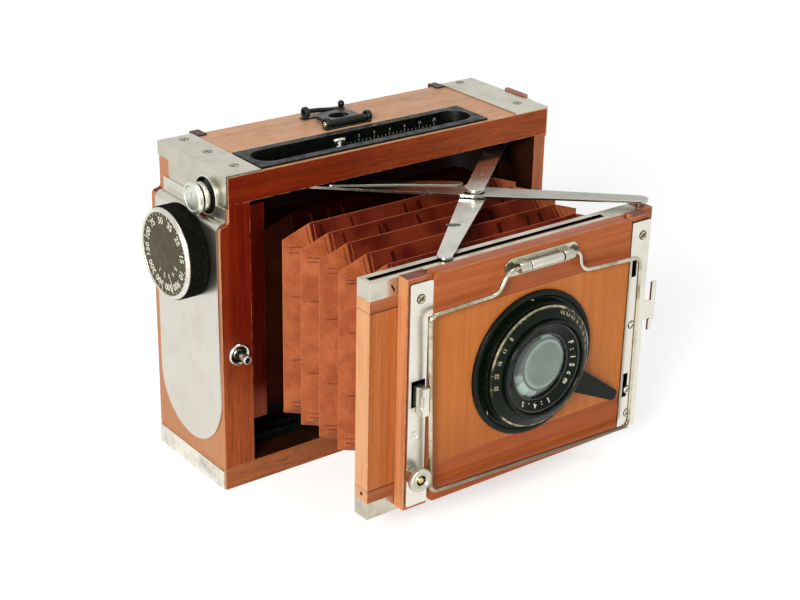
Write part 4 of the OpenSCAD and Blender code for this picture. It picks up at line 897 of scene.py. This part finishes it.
for kind, texts, first, turn, radius, size in (("figure", SPEEDS, 200, 30, 13.7, 4.0),
                                               ("tension", "12345", -62, 24, 9.2, 2.8)):
    for i, text in enumerate(texts):
        middle, outwards, around = on_dial(first - turn * i, radius, 0.02)
        label(f"dial_{kind}_{i}", text, size, middle, around, outwards, white_paint, "dial")
ticks = []
for angle, inner, outer, half in [(10 * i, 15.6 if i % 3 == 1 else 16.1, 16.8, 0.14) for i in range(36)] + [
        (248, 10.8, 16.0, 0.2)]:
    start, outwards, _ = on_dial(angle, inner, 0.03)
    ticks.append(bar(start, start + outwards * (outer - inner), half, 0.06, (1, 0, 0)))
piece("dial_ticks", *joined(ticks), white_paint, "dial", "black_alloy", 30)


# Tension knob and the well behind it, painted black as its shade

KNOB = (0, -10.8, 125.3)
knob = turned("knob_turned", [(0, -89.1), (4.9, -89.1), (5.2, -89.4), (6.1, -89.4), (6.6, -88.9),
                              (6.6, -87.4), (6.2, -87.0), (4.9, -86.9), (4.9, -86.1), (5.7, -86.0),
                              (6.0, -85.7), (6.0, -84.1), (5.6, -83.7), (1.5, -83.6), (1.5, -80.2),
                              (0, -80.2)], "x", KNOB, knob_nickel, "tension_knob", "nickel", soften=0.12)
cut(knob, (-90, -11.15, 122.6), (-88.7, -10.45, 128.0))
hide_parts("tension_knob")
# Painted shade: a dark ring in the knob's groove.
turned("knob_groove", [(4.7, -86.85), (5.35, -86.85), (5.35, -86.15), (4.7, -86.15)],
       "x", KNOB, drum_paint, "tension_knob", "black_alloy", soften=0.1)
# Painted shade: the well round the knob is laid black.
turned("knob_well", [(1.75, -80.75), (7.4, -80.75), (7.4, -82.7), (7.6, -82.7), (7.6, -80.55),
                     (1.75, -80.55)], "x", KNOB, black_enamel, "root", "black_enamel", soften=0.08)
turned("knob_bezel", [(7.6, -80.55), (7.6, -82.85), (8.0, -83.0), (8.38, -82.8), (8.38, -80.55)],
       "x", KNOB, pale_nickel, "root", "nickel", soften=0.15)


# Lens: turned rings with plain scale figures

LENS = (3, 0, 69.3)
CONE, NAME_CONE = 1.7 / 3.8, -0.42
FINE = 0.03


def lens_ring(name, profile, soften, material=black_alloy, body="lens_cell", slot="black_alloy", **more):
    return turned(name, profile, "y", LENS, material, body, slot, soften=soften, **more)


flange = lens_ring("flange_ring", [(23.95, -112.1), (30.3, -112.1), (30.3, -113.3), (29.8, -113.8),
                                   (28.3, -113.8), (27.8, -113.35), (23.95, -113.35)], 0.18,
                   body="lens_board")
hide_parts("lens_flange")
barrel = lens_ring("barrel_turned", [(21.9, -98.2), (23.9, -98.2), (23.9, -116.35), (19.4, -116.35),
                                     (19.4, -119.7), (18.6, -119.9), (18.1, -119.5), (14.5, -117.9),
                                     (14.3, -117.6), (14.1, -117.3), (13.55, -117.0), (13.55, -112.2),
                                     (21.9, -112.2)], 0.12)
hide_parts("lens_barrel")
lens_ring("glass_ring", [(13.45, -117.2), (14.2, -117.5), (14.35, -117.9), (13.9, -118.05), (13.45, -117.8)],
          0.05, lens_rim)
lens_ring("name_ring_edge", [(17.9, -119.3), (18.4, -119.6), (18.5, -120.0), (18.2, -120.0), (17.9, -119.7)],
          0.04, lens_rim)
aperture = lens_ring("aperture_turned", [(19.45, -116.6), (25.3, -116.6), (25.4, -116.8), (25.4, -117.2),
                                         (25.1, -117.5), (21.3, -119.2), (19.45, -119.2)],
                     0.08, body="aperture_ring", steps=480, flutes=(120, 0.12, 25.2), smooth=50)
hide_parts("aperture_ring")
lens_ring("aperture_edge", [(24.55, -117.3), (25.46, -117.05), (25.52, -117.4), (24.65, -117.80)],
          0.05, worn_brass, "aperture_ring")
bezel = lens_ring("bezel_turned", [(19.35, -119.45), (20.25, -119.45), (20.3, -120.6), (20.0, -121.1),
                                   (19.35, -121.1), (19.1, -120.7), (19.1, -119.85), (19.35, -119.85)], 0.1)
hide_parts("front_bezel")


def on_cone(angle, radius, y, slope):
    """A point on a turned face about the lens, with the directions around and outwards.
    slope is the face's change of place along Y over that of its radius."""
    a = math.radians(angle)
    ray = Vector((math.cos(a), 0, math.sin(a)))
    outwards = (ray + Vector((0, slope, 0))).normalized()
    return Vector((LENS[0], y, LENS[2])) + ray * radius, Vector((math.sin(a), 0, -math.cos(a))), outwards


angles = []
for kind, stops, first, turn in (("figure", "4.5 5.6 6.3 8 11 16 22 32", 66, 8.5),
                                 ("second", "32 22 16 11 8", 187, 13)):
    for i, stop in enumerate(stops.split()):
        angles.append(first - turn * i)
        middle, around, outwards = on_cone(angles[-1], 23.0, -118.46, CONE)
        label(f"aperture_{kind}_{i}", stop, 2.1, middle, around, outwards, scale_brass, "aperture_ring",
              FINE)
ticks = []
for angle in angles + [112, 118]:
    start, _, outwards = on_cone(angle, 24.2, -117.93, CONE)
    ticks.append(bar(start, start + outwards * 0.9, 0.13, 0.05))
piece("aperture_ticks", *joined(ticks), scale_brass, "aperture_ring", "black_alloy", 30)
for i, sign in enumerate("F:15cm  1:4.5"):
    if sign != " ":
        middle, around, outwards = on_cone(26 - 12.5 * i, 16.1, -118.62, NAME_CONE)
        label(f"lens_figure_{i}", sign, 2.9, middle, around, outwards, white_paint, "lens_cell",
              FINE)

dome = [(13.5 * math.sin(math.radians(a)), -116.5 - 2 * math.cos(math.radians(a))) for a in range(0, 91, 6)]
front = lens_ring("front_element", dome + [(13.5, -115.6), (0, -115.6)], 0, lens_glass, slot="glass")
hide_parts("front_glass")
lens_ring("inner_element", [(0, -115.5), (8.4, -115.3), (12.9, -114.9), (13.2, -114.6), (13.2, -113.2),
                            (0, -113.2)], 0.1, painted_reflections, slot="glass")


# Cable-release nipple

NIPPLE = (-79.3, 0, 61.5)
nipple = turned("nipple_ring", [(3.5, -27.0), (3.5, -28.1), (3.8, -28.75), (4.3, -28.9), (4.75, -28.3),
                                (4.85, -27.0)], "y", NIPPLE, bright_nickel, "root", "nickel", soften=0.15)
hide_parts("release_escutcheon")
# Painted shade: a black ring in the recess round the tube.
turned("nipple_well", [(2.35, -27.02), (2.35, -27.3), (3.55, -27.3), (3.55, -27.02)],
       "y", NIPPLE, black_enamel, "root", "black_enamel", soften=0.02)
tube = turned("release_tube", [(0, -18.0), (2.25, -18.0), (2.25, -27.2), (1.75, -27.7), (1.55, -28.4),
                               (1.55, -32.2), (1.9, -32.6), (1.95, -34.5), (1.7, -35.0), (1.15, -35.0),
                               (1.1, -33.2), (0, -33.2)], "y", NIPPLE, bright_nickel, "release", "nickel",
              64, 0.15)
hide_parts("release_plunger")
# Painted shade: a black disc in the tube's bore.
turned("release_bore", [(0, -33.2), (1.12, -33.2), (1.12, -34.3), (1.05, -34.3), (1.05, -33.3), (0, -33.3)],
       "y", NIPPLE, black_enamel, "release", "black_enamel", 48, 0.02)


# Lock knob on the left stile

LOCK = (-54.8, 0, 37.3)
lock = turned("lock_turned", [(0, -116.6), (2.1, -116.6), (2.15, -117.9), (2.5, -118.05), (2.75, -117.7),
                              (3.0, -117.7), (3.2, -118.0), (4.5, -118.1), (4.9, -117.7), (4.9, -115.8),
                              (4.5, -115.35), (3.4, -115.3), (3.4, -112.3), (2.2, -112.2), (2.2, -109.2),
                              (0, -109.2)],
              "y", LOCK, nickel, "lock_knob", "nickel", 240, 0.12, flutes=(48, 0.18, 4.7), smooth=50)
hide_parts("lock_knob")
# Painted shade: a black disc in the well round the lock screw.
turned("lock_well", [(0, -116.75), (2.05, -116.75), (2.05, -116.65), (0, -116.65)],
       "y", LOCK, black_enamel, "lock_knob", "black_enamel", soften=0)
turned("lock_screw", [(0, -116.7), (1.3, -116.7), (1.3, -117.5), (1.0, -117.85), (0, -117.95)],
       "y", LOCK, brass, "lock_knob", "brass", 40, 0.08)


# Folding sight

TOP_Z = 137
SIGHT_AXIS = (0, 2, 139.3)
IRON = (sight_black, "root", "black_enamel")


def oblong(x0, y0, x1, y1, radius, steps):
    return rounded([(x0, y0), (x1, y0), (x1, y1), (x0, y1)], radius, steps)


def boss(name, x, y, z, hole, half=1.15):
    """A ring along X that holds a rod. half is half its length."""
    r = 2.5
    turned(name, [(hole, x - half + 0.35), (hole + 0.25, x - half), (r - 0.3, x - half), (r, x - half + 0.3),
                  (r, x + half - 0.3), (r - 0.3, x + half), (hole + 0.25, x + half), (hole, x + half - 0.35)],
           "x", (0, y, z), *IRON, 40, 0.12)


plate = prism("sight_plate", oblong(-11.5, 3.2, 6.4, 18.9, 1.6, 5), "z", TOP_Z, 137.9, *IRON, soften=0.25)
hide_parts("sight_base")
prism("sight_feet", oblong(-17.1, 0.2, 6.6, 3.4, 0.9, 4), "z", TOP_Z, 137.8, *IRON)
prism("sight_rear_feet", oblong(-17.2, 17.2, 4.6, 20.6, 0.9, 4), "z", TOP_Z, 137.8, *IRON)
boss("sight_boss_left", -15.7, 2, 139.5, 1.35)
boss("sight_boss_right", 5.2, 2, 139.5, 1.35)
boss("sight_ring", -15.6, 18.2, 140.1, 1.3, 1.0)
turned("sight_post", [(0, 137.5), (1.0, 137.5), (0.9, 139.2), (1.25, 139.8), (1.5, 140.7), (1.4, 141.5),
                      (0.9, 142.2), (0, 142.45)], "z", (3.2, 18.6, 0), *IRON, 32, 0.3)
bar_path = [(-15.4, 18.2, 140.6), (-9, 17.9, 140.2), (-2, 17.6, 139.4), (4.0, 17.5, 138.5)]
piece("sight_bar", *sweep(bar_path, circle(1.0, 14)), *IRON)
hole_angles = [math.radians(198 + i * 15) for i in range(24)]
leaf_outline = [(-13.9, 2.2), (3.4, 2.2), (3.4, 12.5), (-1.0, 15.8), (-9.5, 15.8), (-13.9, 12.5)]
leaf = prism("sight_leaf_frame", rounded(leaf_outline, 1.5), "z", 138.8, 139.8, sight_black, "sight",
             "black_enamel", hole=[(-5.25 + 4.7 * math.cos(a), 8.6 + 3.3 * math.sin(a)) for a in hole_angles])
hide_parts("sight_leaf")
turned("sight_rod", [(0, -17.0), (1.0, -17.0), (1.25, -16.6), (1.25, 6.1), (1.0, 6.5), (0, 6.5)], "x",
       SIGHT_AXIS, bright_nickel, "sight", "black_enamel", 32, 0.2)
turned("sight_sleeve", [(1.2, -13.9), (1.65, -13.7), (1.65, 3.2), (1.2, 3.4)], "x", SIGHT_AXIS, sight_black,
       "sight", "black_enamel", 32, 0.1)


# The brace over the long strut

ARM_FOOT, ARM_END = Vector((67.6, -101.2, 0)), Vector((-33.5, -12.6, 0))
arm_way = (ARM_END - ARM_FOOT).normalized()
arm_side = Vector((arm_way.y, -arm_way.x, 0))
brace = [(ARM_FOOT + arm_way * far + arm_side * side).xy
         for far, side in ((129, 1.6), (120, 3.4), (108, 6.2), (76, 9.8), (73.2, 9.4), (72, 7.4), (73.6, 5.2),
                           (98, 3.0), (118, -0.4), (127, -1.6), (130.2, -0.2))]
prism("upper_brace", rounded(brace, 1.5), "z", 120.75, 121.25, long_nickel, "upper_front_strut", "nickel",
      0.12)


# Small trims: dark discs at the hinge ends, painted shade in dark gaps, outlines and screw slots, and screw
# rims

PANEL_Y = -111.16
CORNER_SCREWS = ((-73.1, -17, 35), (-73.1, 3, 100), (-73.1, 21.5, 60), (73.4, 23.5, 20), (74.4, -15.6, 75))
STRIP_SCREWS = ((-52.7, 110), (59.8, 110), (59.0, 30))
BRACKET_X, BRACKET_SCREWS = 57.3, (71.0, 41.3)


def screw_slots(name, body, places, axis, material=black_enamel, length=2.3, width=0.42):
    """Slots on screw heads as thin bars, dark by default as painted shade in the slots. Each place is a point
    just above the head and the slot's angle.
    """
    parts = []
    for place, angle in places:
        a = math.radians(angle)
        if axis == "z":
            way, out = (math.cos(a), math.sin(a), 0), (0, 0, 1)
        else:
            way, out = (math.cos(a), 0, math.sin(a)), (0, 1, 0)
        way = Vector(way) * length / 2
        parts.append(bar(Vector(place) - way, Vector(place) + way, width / 2, 0.08, out))
    piece(name, *joined(parts), material, body, "black_enamel", 30)


def screw_gap(name, body, inner, outer, low, high, axis, centre):
    """Painted shade: a dark ring in the gap round a screw head."""
    turned(name, [(inner, low), (inner, high), (outer, high), (outer, low)], axis, centre, black_enamel, body,
           "black_enamel", 40, 0.02)


# Dark olive discs at the two ends of the finder hinge.
for name, x in (("hinge_dark_left", -11.2), ("hinge_dark_right", 21.0)):
    turned(name, [(0, -113.05), (2.15, -113.05), (2.35, -113.3), (2.1, -113.5), (1.1, -113.25), (0, -113.3)],
           "y", (x, 0, HINGE_Z), olive, "lens_board", "nickel", 48, 0.1)
# Painted shade: dark plates behind the strips' slots.
for name, x0, x1, z0, z1 in (("left_slot_dark", -57.3, -49.6, 62, 78.6),
                             ("right_slot_dark", 54.2, 58.6, 36, 103)):
    piece(name, *box_at((x0, PANEL_Y, z0), (x1, -111.06, z1)), black_enamel, "panel", "black_enamel", 30)
button = [(-11.9 + 2.6 * math.cos(a) - 1.0 * math.sin(a), -79.0 + 1.7 * math.sin(a) - 0.7 * math.cos(a))
          for a in (math.radians(15 * i) for i in range(24))]
prism("arm_button", button, "z", 119.25, 119.55, olive, "upper_rear_strut", "nickel", 0.1)
prism("inner_cheek", [(-72.25, -11.5), (-55.9, -11.5), (-55.9, -9.6), (-72.25, -9.6)], "z", 20, 117,
      cheek_wood, "root", "wood")
for i, (x, y, _) in enumerate(CORNER_SCREWS):
    screw_gap(f"corner_screw_gap_{i}", "root", 1.68, 2.0, 137.7, 137.86, "z", (x, y, 0))
screw_slots("corner_slots", "root", [((x, y, 137.8), angle) for x, y, angle in CORNER_SCREWS], "z")
screw_slots("strip_slots", "panel", [((x, -112.46, z), 35) for x, z in STRIP_SCREWS], "y", length=2.7,
            width=0.6)
for i, (x, z) in enumerate(STRIP_SCREWS):
    screw_gap(f"strip_screw_gap_{i}", "panel", 1.62, 2.0, -112.0, -112.2, "y", (x, 0, z))
screw_slots("rail_slot", "standard", [((-60.6, -105.32, 113.9), 120)], "y", length=3.0, width=0.7)
screw_slots("flange_slots", "lens_board", [((LENS[0] + 27.6 * math.cos(math.radians(a)), -113.32,
                                             LENS[2] + 27.6 * math.sin(math.radians(a))), a + 60)
                                           for a in (95, 215, 335)], "y", scale_brass, length=2.2)
for i, z in enumerate(BRACKET_SCREWS):
    turned(f"bracket_screw_{i}", [(0, -112.2), (1.5, -112.2), (1.5, -112.6), (1.1, -112.9), (0, -112.95)],
           "y", (BRACKET_X, 0, z), pale_nickel, "panel", "nickel", 40, 0.1)
    screw_gap(f"bracket_screw_gap_{i}", "panel", 1.5, 1.85, -112.05, -112.16, "y", (BRACKET_X, 0, z))
screw_slots("bracket_slots", "panel", [((BRACKET_X, -112.98, z), 50) for z in BRACKET_SCREWS], "y",
            length=2.2)
# Painted shadow: black plates a little wider than the strips, showing as a dark line round them.
for name, outline in (("left_strip_shade", [(-57.68, 23.4), (-49.0, 23.4), (-49.0, 101.6), (-46.9, 101.6),
                                        (-46.9, 116.6), (-57.68, 116.6)]),
                      ("right_strip_shade", [(53.45, 22.4), (64.0, 22.4), (64.0, 116.6), (53.45, 116.6)])):
    prism(name, rounded(outline, 1.0), "y", PANEL_Y, -111.04, black_enamel, "panel", "black_enamel", 0)
# Painted shade: a black plate in the hollow of the top rail's channel.
prism("rail_dark", [(-69.6, -104.0), (62, -104.0), (62, -98.4), (-69.6, -98.4)], "z", 113.9, 114.2,
      black_enamel, "standard", "black_enamel", 0)
# Painted shade: a black disc for the hole in the standard's side.
turned("side_hole", [(0, -71.04), (0.85, -71.04), (0.85, -70.9), (0, -70.9)], "x", (0, -101.5, 29.4),
       black_enamel, "standard", "black_enamel", 32, 0)


# Focus scale: ticks and figures on the tray's rear wall, and the index pin with its nickel head

SCALE_START, WALL_Y = -14, -7.62
ticks = []
for i in range(25):
    x = SCALE_START + 2 * i
    ticks.append(box_at((x - 0.09, -7.68, 132.5), (x + 0.09, -7.55, 132.5 + (1.5 if i % 4 == 0 else 0.8))))
piece("scale_ticks", *joined(ticks), scale_paint, "root", "black_enamel", 30)
for i, distance in enumerate("1.5 2 3 4 6 10 20".split()):
    label(f"scale_figure_{i}", distance, 1.7, (SCALE_START + 8 * i, WALL_Y, 135.2), (1, 0, 0), (0, 0, 1),
          scale_paint, "root", rise=0.05)
head = sweep([(-22.2, -13, 136.9), (-21.9, -13, 137.15), (-18.1, -13, 137.15), (-17.8, -13, 136.9)],
             circle(0.85))
pin = sweep([(-20, -13, 131.5), (-20, -13, 137.0)], circle(1.0), up=(1, 0, 0))
piece("index_head", *head, bright_nickel, "index", "nickel")
piece("index_stem", *pin, index_paint, "index", "nickel")


# Handle strap: padded leather with a stitched edge

def ease(t):
    t = min(1, max(0, t))
    return t * t * (3 - 2 * t)


def strap_line(z):
    """The middle of the strap at a height: it leaves the body, runs straight and comes back."""
    low, high, out = 81.6, 82.8, 86.8
    foot, halfway, head, run = 25, 68.5, 127.6, 16
    if z < halfway:
        inner = low + (out - low) * ease((z - foot) / run)
    else:
        inner = high + (out - high) * ease((head - z) / run)
    return Vector((inner + 1.2, -3.5, z))


section = rounded([(-7, -1.15), (-5.6, -1.15), (0, -1.2), (5.6, -1.15), (7, -1.15), (7, 0.95), (5.6, 1.0),
                   (0, 1.2), (-5.6, 1.0), (-7, 0.95)], 0.55)
strap_path = [strap_line(14 + 124.6 * i / 60) for i in range(61)]
strap = piece("strap_leather", *sweep(strap_path, section, up=(-1, 0, 0)), strap_leather, "root",
              "dark_leather", 50)
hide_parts("handle_strap")
stitches = []
for z in range(44, 109, 3):
    for side in (-5.9, 5.9):
        p = strap_line(z) + Vector((1.02, side, 0))
        stitch = [p + Vector(step) for step in ((0, 0, -1.0), (0.1, 0, -0.4), (0.1, 0, 0.4), (0, 0, 1.0))]
        stitches.append(sweep(stitch, circle(0.24, 8), up=(0, 1, 0)))
piece("strap_stitches", *joined(stitches), strap_thread, "root", "dark_leather", 50)


# Shutter blind: a taut rubbered cloth with a slit

def blind():
    """Points and faces of the cloth. Its slit lies between the ninth and the tenth row."""
    foot, slit_foot, slit_top, top = 21, 64.55, 72.55, 116
    end, side, y, wave = 58, 66, 19.2, 0.12
    columns = [-side, -end] + [-end + 2 * end * i / 24 for i in range(1, 24)] + [end, side]
    rows = [foot + (slit_foot - foot) * i / 8 for i in range(9)]
    rows += [slit_top + (top - slit_top) * i / 8 for i in range(9)]
    vertices = [(x, y + wave * math.sin(x * 0.35) * math.sin(z * 0.12), z) for z in rows for x in columns]
    n = len(columns)
    faces = []
    for r in range(len(rows) - 1):
        for c in range(n - 1):
            if r != 8 or c in (0, n - 2):
                faces.append((r * n + c, r * n + c + 1, (r + 1) * n + c + 1, (r + 1) * n + c))
    return vertices, faces


blind_piece = piece("shutter_blind", *blind(), blind_cloth, "root", "black_cloth", 60)
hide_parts("shutter_curtain")


# Back lid: pressed ribs

def bead(x0, z0, x1, z1, r):
    ring = [(x, 35.85, z) for x, z in oblong(x0, z0, x1, z1, 5, 6)]
    return sweep(ring, circle(r, 10), closed=True, up=(0, 1, 0))


piece("lid_beads", *joined([bead(-57, 21, 57, 115, 0.7), bead(-45, 33, 45, 103, 0.5)]), black_enamel,
      "back_lid", "black_enamel", 60)


# Camera, from the photograph's own view

TARGET, DISTANCE, FOCAL_LENGTH = Vector((0.0027, -0.027, 0.06466)), 0.7153, 74.67
AZIMUTH, ELEVATION, ROLL = math.radians(-37.449), math.radians(23.859), math.radians(1.226)
back = Vector((math.sin(AZIMUTH) * math.cos(ELEVATION), -math.cos(AZIMUTH) * math.cos(ELEVATION),
               math.sin(ELEVATION)))
right = Vector((math.cos(AZIMUTH), math.sin(AZIMUTH), 0))
up = back.cross(right)
rolled_right = math.cos(ROLL) * right + math.sin(ROLL) * up
rolled_up = -math.sin(ROLL) * right + math.cos(ROLL) * up
lens = bpy.data.cameras.new("camera")
lens.lens = FOCAL_LENGTH
lens.sensor_width = 36
lens.clip_start = 0.01
camera = placed("camera", lens)
camera.matrix_world = (Matrix.Translation(TARGET + back * DISTANCE)
                       @ Matrix((rolled_right, rolled_up, back)).transposed().to_4x4())
scene.camera = camera


# Floor, lamps and world

FLOOR_HALF, FLOOR_Z = 6, -0.0001
MIDDLE = (0, -0.03, 0.07)


def floor_look():
    """A near-white floor that glows for the camera and in mirrors, more so far away."""
    look = Look("floor", Roughness=0.9, Specular_IOR_Level=0.1)
    look.colour(look.mix(look.noise(3), (0.90, 0.90, 0.90), (0.93, 0.93, 0.93)))
    path = look.add("ShaderNodeLightPath")
    seen = look.plus(path.outputs["Is Camera Ray"], path.outputs["Is Glossy Ray"])
    seen = look.math("MINIMUM", look.plus(seen, path.outputs["Is Transmission Ray"]), 1)
    look.shader.inputs["Emission Color"].default_value = (1, 1, 1, 1)
    far = look.add("ShaderNodeVectorMath", operation="LENGTH")
    look.link(look.coordinates, far.inputs[0])
    glow = look.times(seen, look.steps(far.outputs["Value"], 0.35, 1.3, 0.56, 1.0))
    look.link(glow, look.shader.inputs["Emission Strength"])
    return look.material


floor_mesh = bpy.data.meshes.new("floor")
floor_mesh.from_pydata([(x * FLOOR_HALF, y * FLOOR_HALF, FLOOR_Z) for x,
                        y in ((-1, -1), (1, -1), (1, 1), (-1, 1))], [], [(0, 1, 2, 3)])
floor_mesh.materials.append(floor_look())
floor = placed("floor", floor_mesh)


def lamp(name, place, size, power, tint=(1, 1, 1)):
    """A disc lamp that points at the middle of the camera."""
    light = bpy.data.lights.new(name, "AREA")
    light.shape = "DISK"
    light.size = size
    light.energy = power
    light.color = tint
    turn = (Vector(MIDDLE) - Vector(place)).to_track_quat("-Z", "Y").to_matrix().to_4x4()
    placed(name, light).matrix_world = Matrix.Translation(place) @ turn


lamp("key", (-1.1, -0.8, 0.7), 0.45, 16.0, (1, 0.985, 0.955))
lamp("top", (0.25, -0.3, 1.45), 0.5, 3.8)

WORLD_LIGHT, WORLD_SEEN = 0.22, 1.0
world = bpy.data.worlds.new("studio")
world.use_nodes = True
scene.world = world
tree = world.node_tree
background = tree.nodes["Background"]
background.inputs["Color"].default_value = (1, 1, 1, 1)
path = tree.nodes.new("ShaderNodeLightPath")
total = path.outputs["Is Camera Ray"]
for kind in ("Is Glossy Ray", "Is Transmission Ray"):
    add = tree.nodes.new("ShaderNodeMath")
    add.operation = "ADD"
    add.use_clamp = True
    tree.links.new(total, add.inputs[0])
    tree.links.new(path.outputs[kind], add.inputs[1])
    total = add.outputs[0]
level = tree.nodes.new("ShaderNodeMapRange")
level.inputs["To Min"].default_value = WORLD_LIGHT
level.inputs["To Max"].default_value = WORLD_SEEN
tree.links.new(total, level.inputs["Value"])
tree.links.new(level.outputs["Result"], background.inputs["Strength"])

scene.view_settings.view_transform = "Standard"
